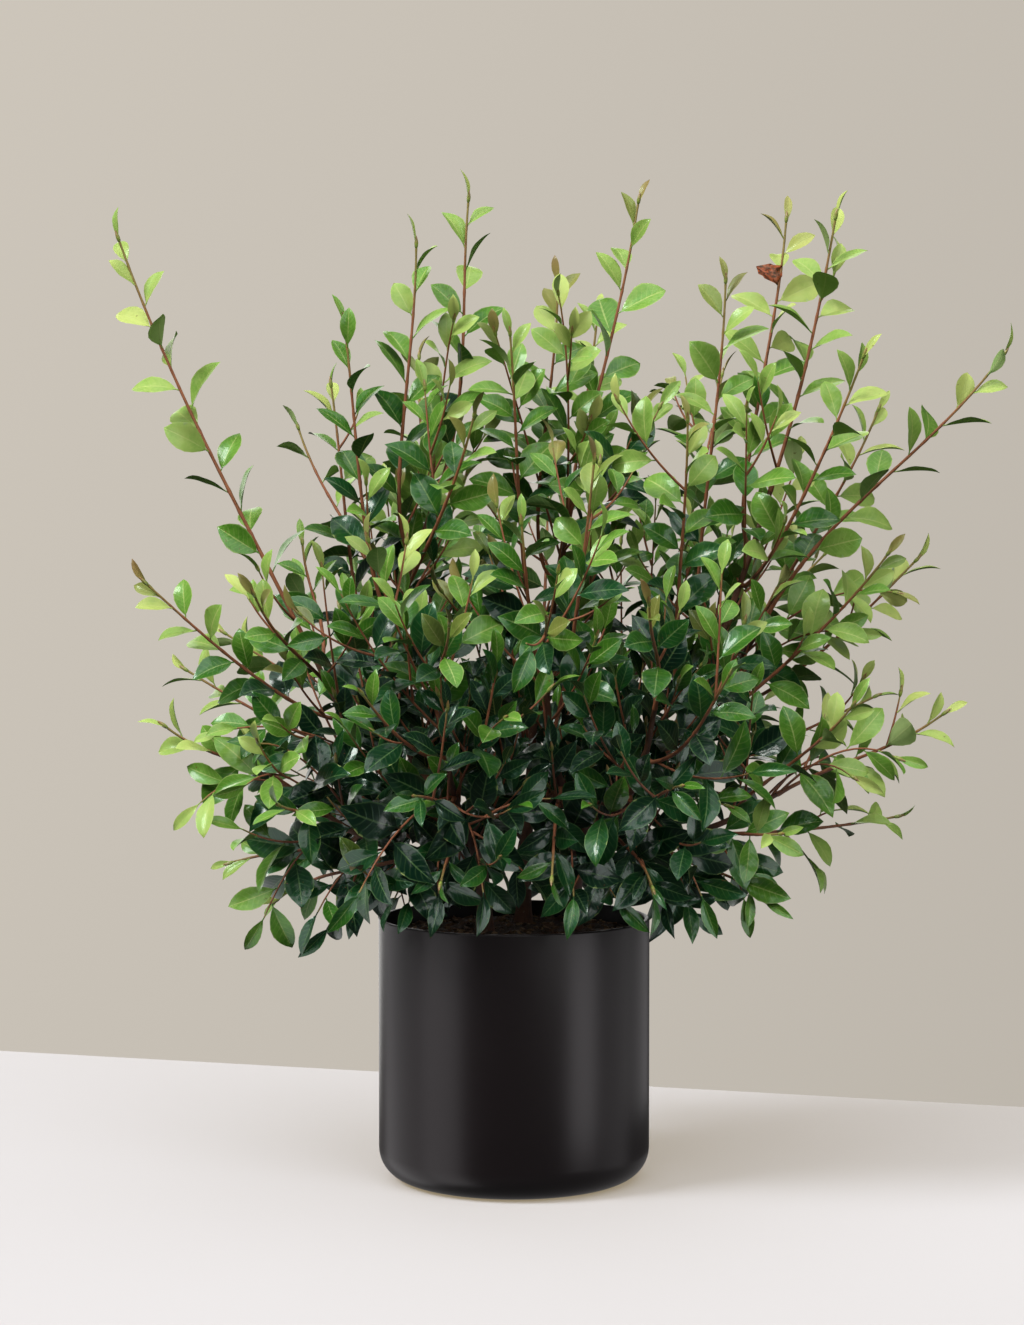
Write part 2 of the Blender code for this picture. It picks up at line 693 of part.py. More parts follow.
def grow_leaves(points, faces, rings, bands, line, far, habit, name, room):
    """Adds the stem's leaves to its points and faces, each bent clear of all that stands there."""
    for spot in chosen_spots(far, habit, name):
        for more_turn, more_angle in TURNS:
            pose = leaf_pose(line, far, spot, habit, name, more_turn, more_angle)
            if not room.is_clear(*blade_test(pose, LEAF_ROOM, FREE_FROM), but=name):
                continue
            leaf = blade_points(*pose)
            if spot[0]:
                foot = band_foot(points, rings, bands[spot[0]], pose[1])
            else:
                foot = list(range((len(rings) - 1) * STEM_SIDES, len(rings) * STEM_SIDES))
            rest = [face for face in faces if face != foot]
            added = blade_faces(least_twisted(foot, points, leaf), len(points))
            if runs_through(points + leaf, rest, added):
                continue
            points, faces = points + leaf, rest + added
            room.add(*blade_test(pose, 0.0, FREE_FROM))
            break
    return points, faces


def grow_leafy_stem(name, line, habit, room, finish):
    """A stem and its leaves as one body: each leaf grows out of one side of its band on the stem."""
    far = lengths_along(line)
    rings, radii, bands = stem_rings(line, far, chosen_spots(far, habit, name))
    points, faces = tube(rings, radii, STEM_SIDES)
    return solid(name, *grow_leaves(points, faces, rings, bands, line, far, habit, name, room), finish)


def main():
    for old in list(bpy.data.objects):
        bpy.data.objects.remove(old)
    coat = material("matt charcoal coat", (0.035, 0.032, 0.033), 0.55)
    mix = material("potting mix", (0.030, 0.020, 0.013), 0.95)
    bark = material("brown bark", (0.115, 0.058, 0.026), 0.80)
    leaf = material("camellia leaf", (0.060, 0.150, 0.035), 0.40)

    room = Room()
    pot = planter(coat)
    room.add([v.co.copy() for v in pot.data.vertices], [list(f.vertices) for f in pot.data.polygons])
    soil = potting_mix([TRUNKS[name][0] for name in TRUNKS], mix)
    room.add([v.co.copy() for v in soil.data.vertices], [list(f.vertices) for f in soil.data.polygons])
    for name in TRUNKS:
        grow_wood(name, room, bark)

    stems = []
    for i, spec in enumerate(LEAFY_STEMS, start=1):
        name = f"leafy_stem_{i:02d}"
        stems.append((name, run_stem(spec, name, room), spec[4]))
    for name, line, habit in stems:
        grow_leafy_stem(name, line, habit, room, leaf)


main()
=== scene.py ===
"""The potted camellia as seen: planter, potting mix, bark and every leaf, round the solids of its frame."""

import math
import random

import bpy
import numpy as np
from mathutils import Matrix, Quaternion, Vector, noise
from mathutils.bvhtree import BVHTree


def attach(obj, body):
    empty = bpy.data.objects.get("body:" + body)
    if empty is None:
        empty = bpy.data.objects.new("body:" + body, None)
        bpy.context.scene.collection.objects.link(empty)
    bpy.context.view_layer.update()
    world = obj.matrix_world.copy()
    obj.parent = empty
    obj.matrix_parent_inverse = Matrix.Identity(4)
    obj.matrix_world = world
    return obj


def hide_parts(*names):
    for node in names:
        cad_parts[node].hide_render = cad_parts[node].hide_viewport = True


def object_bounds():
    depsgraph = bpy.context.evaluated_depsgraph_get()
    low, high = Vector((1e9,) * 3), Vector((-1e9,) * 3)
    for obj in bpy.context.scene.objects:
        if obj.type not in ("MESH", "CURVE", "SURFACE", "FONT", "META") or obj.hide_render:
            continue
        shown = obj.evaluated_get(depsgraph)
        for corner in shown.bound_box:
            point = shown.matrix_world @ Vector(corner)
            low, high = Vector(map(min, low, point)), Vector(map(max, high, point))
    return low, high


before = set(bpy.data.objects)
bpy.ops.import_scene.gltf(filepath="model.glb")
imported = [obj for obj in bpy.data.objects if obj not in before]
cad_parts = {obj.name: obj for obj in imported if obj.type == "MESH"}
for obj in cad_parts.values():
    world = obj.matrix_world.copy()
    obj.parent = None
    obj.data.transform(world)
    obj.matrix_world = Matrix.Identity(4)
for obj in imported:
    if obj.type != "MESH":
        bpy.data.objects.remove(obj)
CAD_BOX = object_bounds()


# Planter
POT_RADIUS = 0.140
POT_HEIGHT = 0.270
POT_WALL = 0.005
POT_EDGE = 0.032  # radius of the round bottom edge
LIP_FLAT = 0.6  # height of the rounded lip, as a share of half the wall
POT_SIDES = 160
OUTER_STEPS, INNER_STEPS, LIP_STEPS = 14, 10, 8

# Potting mix
GAP = 0.0003  # clearance between pieces that rest on each other
SOIL_TOP = POT_HEIGHT - 0.018
SOIL_MOUND = 0.006  # how much higher the mix lies round the trunks
SOIL_LUMPS = 0.0015
SOIL_RINGS, SOIL_SIDES, SOIL_STEPS = 64, 220, 6
CRUMBS = [(190, 0.0022), (480, 0.0011), (70, 0.0020)]  # how fine and how high they are
CRUMBS_FADE = 0.004  # width of the edge at which they end
HOLE_DEPTH = 0.055

# Bark chips on the mix
CHIPS = 520
CHIP_SIZES = [(0.0015, 0.0060), (0.0010, 0.0030), (0.0006, 0.0016)]  # from and to, half along each axis
CHIP_CORNERS = [(0.6, 1.0), (0.6, 1.0), (0.7, 1.0)]  # how far a corner is drawn in along each axis
CHIP_TILT, CHIP_ROLL = 0.35, 0.30
CHIP_RISE = 0.4  # how far they rise from the mix, as a share of half their thickness
CHIPS_REACH = 0.96  # share of the mix that they cover
CHIPS_OFF_TRUNKS = 0.013

# Wood
TRUNK_SIDES = 8
LIMB_SIDES = 6
STEM_SIDES = 4
UPRIGHT = 0.999  # a line with at least this share of its direction upwards counts as upright
TRUNK_FOOT, TRUNK_FORK = 0.0088, 0.0062  # radii
LIMB_FOOT, LIMB_END = 0.0048, 0.0026
STEM_FOOT, STEM_TIP = 0.0024, 0.0012
CURVE_POINTS = 24
STEM_REACH = 0.36  # handle length of a stem's curve, as a share of its span
LONGEST_HANDLE = 0.05
BAND = 0.0026  # length of stem from which a leaf grows
TIP_LEAF = 0.028  # how far the last leaf reaches past the stem's end
BESIDE = 0.0012  # room kept round a stem
TWIG_RADIUS = 0.0011
TWIG_FOOT, TWIG_TIP = 0.0014, 0.0008
HEEL = 0.006  # straight stretch with which a stem leaves its limb
FORWARDS = 0.8  # how far it then turns the limb's way
FOOT_SUNK = 0.0015  # how far its foot goes into the limb
# Swellings, each as a share of the radius, and how far each reaches along the wood
TRUNK_FLARE, TRUNK_FLARE_REACH = 0.25, 0.018  # where the trunk leaves the mix
LIMB_COLLAR, LIMB_COLLAR_REACH = 0.45, 0.016
STEM_COLLAR, STEM_COLLAR_REACH = 0.35, 0.006
KNOB, KNOB_REACH = 0.24, 0.0025  # where a leaf leaves its stem
TRUNK_SLIM, LIMB_SLIM, STEM_SLIM = 0.94, 0.97, 0.90  # what is left of the radius between them
TRUNK_THINS = 0.35  # share of the trunk from which on it gets thinner
TRUNK_LUMPS, LIMB_LUMPS = 0.10, 0.09
TRUNK_SHAPE, LIMB_SHAPE = (56, 20), (46, 14)  # rings and sides of the bark
STEM_RING_EVERY = 0.006

# Leaves
BLADE_HALF = 0.0006  # half the thickness at the midrib
LEAF_ROOM = 0.0007  # room kept round a leaf
LOW_STATION, HIGH_STATION = 0.32, 0.70  # where the blade is cut across, as shares of its length
LOW_WIDTH, HIGH_WIDTH = 0.90, 0.88  # and how wide it is there
LEAF_EVERY = 0.034  # distance between the leaves that are modelled; the plant has at least twice as many
YOUNG_LEAVES = 5  # how many leaves at a stem's end are still small
SPIRAL = math.radians(137.5)
CELL = 0.05  # size of the cells in which placed solids are found again

YOUNG_SHARE = 0.65  # how long the youngest leaf is, as a share of a grown one
YOUNG_CLOSED = 24  # by how many degrees the youngest leaf stands closer to the stem
LAST_ANGLE = 8  # degrees between the stem and the leaf at its end
INWARD = 0.5  # how far leaves keep their upper sides to the stem
TO_SKY, TO_FRONT, TO_SIDE = 0.45, 0.75, 0.6  # and how far they turn them to the light
FRONT_UP_TO, BEHIND_FROM = 0.08, 0.26  # between these depths the leaves turn from the front to the back,
TO_BACK = 1.7  # and this far
SCATTER = 0.45  # how far each one strays from that
FLATTENED = 0.4  # how far a shoot's leaves leave the light free for those behind them
ANGLE_SPREAD = 9
DROOP_SPREAD, LENGTH_SPREAD, WIDTH_SPREAD = (0.5, 1.2), (0.86, 1.14), (0.92, 1.08)
ARCH = (0.06, 0.20)
FOLD = (0.12, 0.34)
FREE_FROM = 0.16  # share of a leaf from which on it stays clear of other leaves
TEST_FOOT = 0.1  # how wide the stand-in for a leaf starts there, as a share

# Each habit: leaf spacing, leaf length, width share, opening angle from the stem, droop, and the share of
# the stem that is bare
HABITS = {
    "open": dict(spacing=0.023, length=0.050, width=0.66, angle=40, droop=0.00, bare=0.10),
    "bushy": dict(spacing=0.0165, length=0.048, width=0.63, angle=48, droop=0.08, bare=0.16),
    "low": dict(spacing=0.0165, length=0.053, width=0.52, angle=62, droop=0.45, bare=0.16),
    "twig": dict(spacing=0.0165, length=0.050, width=0.61, angle=46, droop=0.10, bare=0.12),
    "low_twig": dict(spacing=0.0165, length=0.062, width=0.54, angle=62, droop=0.30, bare=0.12),
    "hung_twig": dict(spacing=0.0160, length=0.067, width=0.57, angle=66, droop=0.16, bare=0.24),
}

# Each trunk: where it stands in the mix, and the points that it passes above it
TRUNKS = {
    "trunk_left": [(-0.030, -0.015), (-0.033, -0.018, 0.315), (-0.045, -0.020, 0.375)],
    "trunk_right": [(0.062, 0.012), (0.066, 0.012, 0.325), (0.076, 0.010, 0.380)],
    "trunk_back": [(0.010, 0.058), (0.012, 0.062, 0.330), (0.016, 0.066, 0.395)],
}

# Each limb: its trunk, and the points that it passes, the first of them inside the trunk
LIMBS = {
    "far_left": (
        "trunk_left",
        [(-0.039, -0.019, 0.345), (-0.105, -0.036, 0.400), (-0.165, -0.046, 0.470), (-0.205, -0.050, 0.545)],
    ),
    "left_low": (
        "trunk_left",
        [(-0.033, -0.018, 0.312), (-0.100, -0.055, 0.338), (-0.165, -0.080, 0.368), (-0.215, -0.090, 0.405)],
    ),
    "left_up": (
        "trunk_left",
        [
            (-0.045, -0.020, 0.372),
            (-0.100, -0.010, 0.425),
            (-0.126, 0.000, 0.520),
            (-0.113, 0.008, 0.610),
            (-0.085, 0.015, 0.690),
        ],
    ),
    "front_left": (
        "trunk_left",
        [(-0.036, -0.019, 0.330), (-0.052, -0.075, 0.375), (-0.066, -0.120, 0.435), (-0.072, -0.150, 0.500)],
    ),
    "right_up": (
        "trunk_right",
        [
            (0.075, 0.010, 0.375),
            (0.130, 0.000, 0.420),
            (0.185, -0.010, 0.500),
            (0.230, -0.015, 0.610),
            (0.262, -0.020, 0.710),
        ],
    ),
    "far_right": (
        "trunk_right",
        [(0.071, 0.011, 0.355), (0.140, 0.040, 0.410), (0.210, 0.052, 0.490), (0.265, 0.050, 0.580)],
    ),
    "right_low": (
        "trunk_right",
        [(0.065, 0.012, 0.318), (0.140, -0.012, 0.345), (0.210, -0.024, 0.368), (0.270, -0.030, 0.400)],
    ),
    "front_right": (
        "trunk_right",
        [(0.068, 0.012, 0.335), (0.100, -0.055, 0.375), (0.126, -0.110, 0.430), (0.138, -0.150, 0.495)],
    ),
    "mid_front": (
        "trunk_right",
        [(0.072, 0.011, 0.362), (0.048, -0.055, 0.410), (0.036, -0.110, 0.470), (0.030, -0.150, 0.535)],
    ),
    "mid_up": (
        "trunk_back",
        [(0.016, 0.066, 0.392), (0.022, 0.058, 0.480), (0.038, 0.048, 0.570), (0.055, 0.040, 0.665)],
    ),
    "back_left": (
        "trunk_back",
        [(0.013, 0.063, 0.345), (-0.050, 0.105, 0.410), (-0.100, 0.135, 0.490), (-0.135, 0.150, 0.580)],
    ),
    "back_right": (
        "trunk_back",
        [(0.014, 0.065, 0.365), (0.080, 0.115, 0.425), (0.130, 0.145, 0.505), (0.165, 0.160, 0.600)],
    ),
    "back": (
        "trunk_back",
        [(0.012, 0.062, 0.322), (0.018, 0.120, 0.365), (0.025, 0.170, 0.430), (0.030, 0.200, 0.515)],
    ),
}

# Each leafy stem: its limb, how far along the limb it starts (1 is the limb's end), its tip, how much
# it turns up (or down) towards its tip, and its habit
LEAFY_STEMS = [
    ("far_left", 1.00, (-0.408, -0.040, 0.986), 0.25, "open"),
    ("far_left", 0.72, (-0.385, -0.095, 0.633), 0.20, "bushy"),
    ("far_left", 0.88, (-0.260, -0.175, 0.625), 0.45, "bushy"),
    ("far_left", 0.55, (-0.360, 0.020, 0.537), 0.15, "bushy"),
    ("far_left", 0.95, (-0.220, 0.010, 0.680), 0.60, "bushy"),
    ("left_low", 1.00, (-0.365, -0.120, 0.490), 0.20, "bushy"),
    ("left_low", 0.62, (-0.310, -0.050, 0.325), -0.05, "bushy"),
    ("left_low", 0.38, (-0.262, -0.010, 0.275), -0.30, "low"),
    ("left_low", 0.82, (-0.235, -0.215, 0.410), 0.10, "low"),
    ("left_up", 1.00, (-0.045, 0.030, 1.035), 0.40, "open"),
    ("left_up", 0.86, (-0.100, -0.005, 0.985), 0.50, "open"),
    ("left_up", 0.66, (-0.176, -0.025, 0.906), 0.40, "open"),
    ("left_up", 0.50, (-0.195, 0.060, 0.845), 0.40, "bushy"),
    ("left_up", 0.74, (-0.034, -0.120, 0.805), 0.50, "bushy"),
    ("front_left", 1.00, (-0.060, -0.265, 0.600), 0.40, "bushy"),
    ("front_left", 0.72, (-0.155, -0.250, 0.530), 0.30, "bushy"),
    ("front_left", 0.50, (-0.100, -0.280, 0.420), 0.00, "low"),
    ("front_left", 0.30, (-0.075, -0.200, 0.310), -0.35, "low"),
    ("mid_front", 1.00, (0.030, -0.300, 0.600), 0.30, "bushy"),
    ("mid_front", 0.84, (0.005, -0.190, 0.700), 0.60, "bushy"),
    ("mid_front", 0.66, (0.080, -0.170, 0.760), 0.55, "bushy"),
    ("mid_front", 0.34, (0.035, -0.215, 0.315), -0.40, "low"),
    ("front_right", 1.00, (0.125, -0.285, 0.620), 0.40, "bushy"),
    ("front_right", 0.74, (0.215, -0.245, 0.550), 0.30, "bushy"),
    ("front_right", 0.52, (0.165, -0.270, 0.430), 0.00, "low"),
    ("front_right", 0.32, (0.140, -0.195, 0.305), -0.35, "low"),
    ("right_up", 1.00, (0.330, -0.030, 1.010), 0.35, "bushy"),
    ("right_up", 0.86, (0.284, 0.040, 1.015), 0.40, "bushy"),
    ("right_up", 0.76, (0.356, -0.095, 0.865), 0.35, "bushy"),
    ("right_up", 0.60, (0.214, -0.045, 0.945), 0.50, "bushy"),
    ("right_up", 0.46, (0.170, -0.140, 0.800), 0.50, "bushy"),
    ("far_right", 1.00, (0.520, 0.020, 0.870), 0.15, "open"),
    ("far_right", 0.84, (0.395, 0.100, 0.820), 0.35, "bushy"),
    ("far_right", 0.66, (0.440, 0.070, 0.655), 0.25, "bushy"),
    ("far_right", 0.50, (0.392, -0.055, 0.665), 0.30, "bushy"),
    ("far_right", 0.34, (0.410, 0.140, 0.500), 0.10, "bushy"),
    ("right_low", 1.00, (0.460, -0.020, 0.496), 0.20, "bushy"),
    ("right_low", 0.76, (0.345, -0.150, 0.515), 0.20, "bushy"),
    ("right_low", 0.60, (0.425, 0.060, 0.372), 0.10, "bushy"),
    ("right_low", 0.40, (0.265, -0.110, 0.285), -0.25, "low"),
    ("right_low", 0.56, (0.265, -0.225, 0.380), 0.05, "low"),
    ("mid_up", 1.00, (0.133, 0.045, 1.035), 0.40, "open"),
    ("mid_up", 0.84, (0.045, 0.015, 0.950), 0.50, "bushy"),
    ("mid_up", 0.62, (-0.006, -0.065, 0.890), 0.50, "bushy"),
    ("mid_up", 0.74, (0.092, 0.125, 0.925), 0.40, "bushy"),
    ("back_left", 1.00, (-0.245, 0.220, 0.805), 0.40, "bushy"),
    ("back_left", 0.74, (-0.105, 0.250, 0.885), 0.50, "bushy"),
    ("back_left", 0.50, (-0.335, 0.180, 0.570), 0.15, "bushy"),
    ("back_left", 0.32, (-0.210, 0.285, 0.415), -0.05, "low"),
    ("back_right", 1.00, (0.235, 0.245, 0.865), 0.40, "bushy"),
    ("back_right", 0.64, (0.360, 0.225, 0.660), 0.25, "bushy"),
    ("back_right", 0.38, (0.290, 0.255, 0.415), -0.05, "low"),
    ("back", 1.00, (0.040, 0.335, 0.740), 0.40, "bushy"),
    ("back", 0.66, (-0.060, 0.350, 0.520), 0.15, "low"),
    ("back", 0.36, (0.060, 0.300, 0.325), -0.30, "low"),
]

# Handle shifts tried in turn when a stem would run into another one
BOWS = [Vector((0, 0, 0))] + [
    Vector(axis) * sign * size
    for size in (0.012, 0.024, 0.036)
    for axis in ((1, 0, 0), (0, 1, 0), (0, 0, 1))
    for sign in (1, -1)
]
# Turns round the stem and changes of opening angle, in degrees, tried in turn to bend a leaf clear
TURNS = [(0, 0), (22, 0), (-22, 0), (0, 14), (0, -14), (45, 0), (-45, 0), (30, 14), (-30, 14)]
TURNS += [(75, 0), (-75, 0)]

# The view: metres and radians
CAMERA_AT = (-0.0021, -3.0, 0.665)
CAMERA_DOWN = math.radians(2.52)
LENS = 79.17
FLOOR_EDGE = [(-0.66, 0.729, 0.0), (0.59, 0.361, 0.0)]  # two points on the floor's far edge
FLOOR_REACH = 30.0
FLOOR_COLOUR = (0.292, 0.306, 0.355)
FLOOR_GLOW = (0.275, 0.222, 0.138)
WALL_COLOUR = (0.560, 0.516, 0.453)  # of the room behind
WALL_FADES = (-0.335, 0.0, 0.16)  # how much brighter it is along each axis
ROOM_COLOUR = (1.0, 0.96, 0.91)
ROOM_LIGHT = 0.070
# Each sun: name, where it comes from, how wide it is in degrees, watts on a square metre, colour
SUNS = [
    ("key", (-2.60, -1.20, 2.60), 22.0, 3.60, (1.0, 0.985, 0.955)),
    ("front", (-0.40, -2.30, 2.90), 44.0, 1.25, (1.0, 0.99, 0.97)),
    ("above", (0.30, -0.30, 3.00), 76.0, 1.90, (1.0, 0.99, 0.97)),
    ("fill", (1.70, -2.40, 1.70), 40.0, 1.30, (1.0, 0.99, 0.97)),
    ("back", (-0.60, 2.40, 0.62), 50.0, 1.10, (1.0, 0.98, 0.95)),
]
# Soft boxes that only reflections show, in a ring round the planter: name, degrees from the front to the
# right, half their width in degrees, brightness, height of their lower edge
SOFT_BOXES = [
    ("left_front", -54.0, 16.0, 2.45, -0.45),
    ("left_side", -97.0, 25.0, 1.15, -0.45),
    ("right_strip", 50.0, 10.5, 4.1, -0.02),
    ("right_middle", 80.0, 14.0, 0.97, -0.08),
    ("right_side", 113.0, 22.0, 0.60, 0.01),
]
SOFT_BOX_FAR = 0.40
SOFT_BOX_TO = 0.34  # height of their upper edge
SOFT_BOX_COLOUR = (1.0, 0.965, 0.985)
FOOT_GLOW, FOOT_GLOW_REACH = 0.24, 0.20  # a low soft box round the planter's foot: brightness, radius
FOOT_GLOW_UP = 0.0005

# Twigs and leaves that only the look has, and where they may grow
BOX_SLACK = 0.008  # how far past the solids' box
NEAREST = 0.06  # how far off other foliage is looked for
NEAR_FROM = 0.25  # share of a leaf from which on it stays clear of what is there
MIDDLE = 0.6  # share of a leaf or shoot at which it counts as foliage
GAP_TESTS = (0.35, 0.7, 1)  # shares of a leaf that stay out of the gaps
RIM_SHOWS, RIM_CLEAR = 0.15, 0.278  # how far to each side the front rim stays free, and under which height
LEAVES_HANG = 0.022  # how far a shoot's leaves hang under its end there
SHOOT_TRIES, BEST_TRIES = 9, 3  # ways that are looked at, and how many of the best are tried
SHOOT_ANGLES = (22, 50)
SHOOT_SPREAD = (0.8, 1.2)  # of the distance between them
SHOOT_SUNK = 0.6  # how far from the middle of the wood they start, as a share of its radius
SHOOT_BEND = 0.5  # share of their length at which they bend up or down
SHOOT_STEPS, ARCH_STEPS = 9, 11
SHOOT_MARK = 6  # the point of their path that counts as foliage
SHOOT_LIFT = 0.75
DROOP_BELOW = 0.41  # under this height half of the shoots hang
SHOOT_DROOP, HALF_DROOP = -0.55, 0.5
CROWN_EDGE = (0.72, 1.06)  # how raggedly the shoots end at the crown's sides
LOW_TWIGS_TO = 0.44
# Shoots from limbs, from leafy stems and from other shoots: from and to which share of the wood, how far
# apart, how long, and how much free space their ends need
FROM_LIMBS = (0.06, 0.98, 0.016, (0.09, 0.20), 0.042)
FROM_STEMS = (0.08, 0.82, 0.015, (0.06, 0.135), 0.036)
FROM_SHOOTS = (0.25, 0.70, 0.018, (0.045, 0.085), 0.032)
FROM_ENDS = (0.42, 0.90, 0.026, (0.030, 0.055), 0.026)  # short ones, also outside the dense crown
# The dense part of the crown: height, left and right side, and half its depth
CROWN_SIDES = [
    (0.262, -0.21, 0.18, 0.20),
    (0.325, -0.28, 0.23, 0.26),
    (0.375, -0.31, 0.29, 0.29),
    (0.424, -0.33, 0.31, 0.30),
    (0.470, -0.36, 0.32, 0.30),
    (0.520, -0.30, 0.32, 0.30),
    (0.570, -0.28, 0.29, 0.29),
    (0.620, -0.27, 0.29, 0.28),
    (0.720, -0.18, 0.29, 0.24),
    (0.800, -0.10, 0.28, 0.18),
    (0.885, -0.06, 0.26, 0.13),
    (0.930, -0.03, 0.16, 0.09),
]
SIDES_SHALLOW = 0.8  # how much of that depth is gone at the sides
# Gaps through which the wall shows, as seen from the front: where they are across and up, and half their
# width and height
GAPS = [
    (0.027, 0.645, 0.026, 0.029),
    (0.013, 0.603, 0.015, 0.017),
    (0.040, 0.571, 0.015, 0.020),
    (0.019, 0.350, 0.021, 0.016),
    (0.163, 0.740, 0.018, 0.027),
    (-0.196, 0.600, 0.015, 0.018),
    (-0.192, 0.560, 0.014, 0.014),
    (-0.205, 0.745, 0.048, 0.065),
    (0.345, 0.645, 0.030, 0.026),
    (0.318, 0.355, 0.050, 0.026),
]
# Arched shoots: limb, how far along it they start, tip. The first ones hang over the planter's rim, and the
# others fill the crown's lower sides and its top
ARCHED_SHOOTS = [
    ("left_low", 0.25, (-0.150, -0.095, 0.300)),
    ("left_low", 0.42, (-0.195, -0.120, 0.290)),
    ("left_low", 0.70, (-0.250, -0.100, 0.282)),
    ("left_low", 0.20, (-0.150, 0.070, 0.290)),
    ("front_left", 0.12, (-0.074, -0.150, 0.312)),
    ("front_left", 0.20, (-0.118, -0.140, 0.306)),
    ("front_left", 0.34, (-0.030, -0.172, 0.316)),
    ("front_left", 0.50, (-0.150, -0.190, 0.318)),
    ("mid_front", 0.26, (0.058, -0.172, 0.312)),
    ("front_right", 0.12, (0.100, -0.150, 0.308)),
    ("front_right", 0.30, (0.136, -0.162, 0.312)),
    ("front_right", 0.45, (0.184, -0.150, 0.310)),
    ("right_low", 0.35, (0.172, -0.100, 0.300)),
    ("right_low", 0.55, (0.230, -0.090, 0.302)),
    ("right_low", 0.22, (0.155, 0.070, 0.292)),
    ("back_right", 0.14, (0.110, 0.140, 0.290)),
    ("back", 0.20, (0.000, 0.165, 0.288)),
    ("back", 0.34, (0.060, 0.175, 0.286)),
    ("back_left", 0.18, (-0.085, 0.145, 0.290)),
    ("left_low", 0.80, (-0.262, -0.150, 0.420)),
    ("left_low", 0.60, (-0.250, -0.150, 0.460)),
    ("left_low", 0.95, (-0.310, -0.130, 0.400)),
    ("far_left", 0.40, (-0.290, -0.125, 0.470)),
    ("right_low", 0.90, (0.335, -0.100, 0.425)),
    ("right_low", 1.00, (0.385, -0.055, 0.440)),
    ("right_low", 0.95, (0.350, 0.030, 0.425)),
    ("far_right", 0.66, (0.340, -0.020, 0.565)),
    ("far_right", 0.85, (0.392, 0.020, 0.605)),
    ("mid_up", 0.90, (-0.018, -0.040, 0.865)),
    ("mid_up", 0.98, (0.045, -0.045, 0.905)),
    ("left_up", 0.98, (-0.062, -0.020, 0.880)),
]
ARCH_TOP, ARCH_RISE = 0.55, 0.045  # how far along a shoot's arch is highest, and how high it is drawn

# Leaf blades
# Points round a blade: how far each lies from the midrib towards the edge, and which side of it it is on
ACROSS = (-1, -0.5, 0, 0.5, 1, 0.5, 0, -0.5)
FACING = (0, 1, 1, 1, 0, -1, -1, -1)
# Forms of the outline: where it is widest, how full it is, and how much it draws in towards a pointed tip
POINTED, ROUNDED = (0.93, 0.85, 0.5), (1.28, 0.68)
PETIOLE = 0.07  # share of a leaf that is its stalk
STALK_ENDS = 0.12  # share of the blade in which its stalk thins out
PETIOLE_HALF = 0.0007
BLADE_THICK = 0.00028  # half the thickness
KEEL = 0.00035  # how far the midrib stands out underneath
TEETH = 0.035
WAVES, WAVE = 1.6, 0.012  # how many there are along the edge, and how high, as a share of the length
WITHERED_WAVES, CRUMPLED = 3.4, 11.0  # how many a withered leaf has, and how much higher they are
SWING = 0.16
TIP_CURL = 0.05
ROLL = 0.30
MORE_FOLD, MORE_ARCH = 1.6, 1.4
SLIMMER = 0.93
YOUNG_SLIM = (0.62, 0.80, 0.96)  # width of the last leaves, from a shoot's end down
YOUNG_FOLD = 0.22
BLUNT = (1.35, 1.15, 0.2)  # how blunt the palest leaves are, how much less the darkest, and their spread
SHORT_LEAF, FEW_STATIONS, MANY_STATIONS = 0.036, 9, 13  # leaves under that length have fewer rings
RUSTED = {"leafy_stem_28": (4,)}  # the withered leaves by their numbers
WITHERED_ARCH, WITHERED_FOLD, WITHERED_LENGTH = 0.7, 0.9, 0.6
BUD_LONG, BUD_WIDE = 0.013, 0.0021
BUD_SHARE = 0.5  # of the side twigs
BUD_FORM = [(0.0, 0.45), (0.15, 0.85), (0.4, 1.0), (0.65, 0.78), (0.85, 0.42), (1.0, 0.08)]

# How dark the leaves are, by age and by painted shade and light: 0 is palest and 1 is darkest
CROWN, CROWN_HALF = (0.02, 0.0, 0.56), (0.44, 0.34, 0.47)  # its middle and half its sizes
# Painted shade deep in the crown and low down, and the darkening of older leaves down a shoot
DEEP_SHADE, LOW_SHADE, OLD_DARKER = 0.31, 0.58, 0.36
DEEPEST = 0.55  # share of the way in at which their painted shade is deepest
LOW_FROM, LOW_OVER = 0.66, 0.20  # height under which painted shade darkens them, and over how much height
HIGH_FROM, HIGH_OVER = 0.68, 0.16  # and the same for the top, where painted light keeps old leaves paler
ASIDE_FROM, ASIDE_OVER, ASIDE_LIGHT = 0.17, 0.13, 0.95  # how far from the middle low leaves are kept paler by painted light
OLD_ASIDE, OLD_HIGH = 0.5, 0.45  # how much painted light there, and at the top, lessens the darkening of old leaves
OLDEST = 8  # leaf number from which on they don't darken any more
LEAF_SHADES, TWIG_SHADES, STEM_SHADES = 0.10, 0.11, 0.06  # how far each one strays from that
# Painted shade on the twigs that hang under the crown, and the darker tone of open stems
HUNG_SHADE, OPEN_DARKER = 0.12, 0.10
FLUSHED_FROM = 0.57  # above this height young leaves may be bronze
FLUSHED_TWIGS, FLUSHED_STEMS = (0.03, 0.32), (0.15, 0.70)  # the share that is, below and above it
TWIG_AGES = (0.55, 0.9)  # at the foot of twigs that rise and of those that hang
FLUSH, FLUSH_LESS = (0.4, 0.9), 0.15  # how bronze the last leaf is, and how much less each one below
WITHERED, WITHERED_FROM = 1.6, 1.1  # told in the place of how bronze a leaf is, and from where on it counts

# How the pieces are made
UPPER, UNDER, BARK, BUD = range(4)  # the finishes of a leafy piece
STEM_ROUND, TWIG_ROUND, BUD_ROUND = 10, 8, 8  # sides of what is seen
LEAFY_CREASE, POT_CREASE, MIX_CREASE = 70, 50, 40  # degrees between two faces that leave an edge sharp
# Margins of a strip's cell in the UV map and what lies between them, as shares of the cell
UV_SIDES, UV_ENDS = (0.06, 0.88), (0.04, 0.92)
UV_END_RADIUS = 0.01


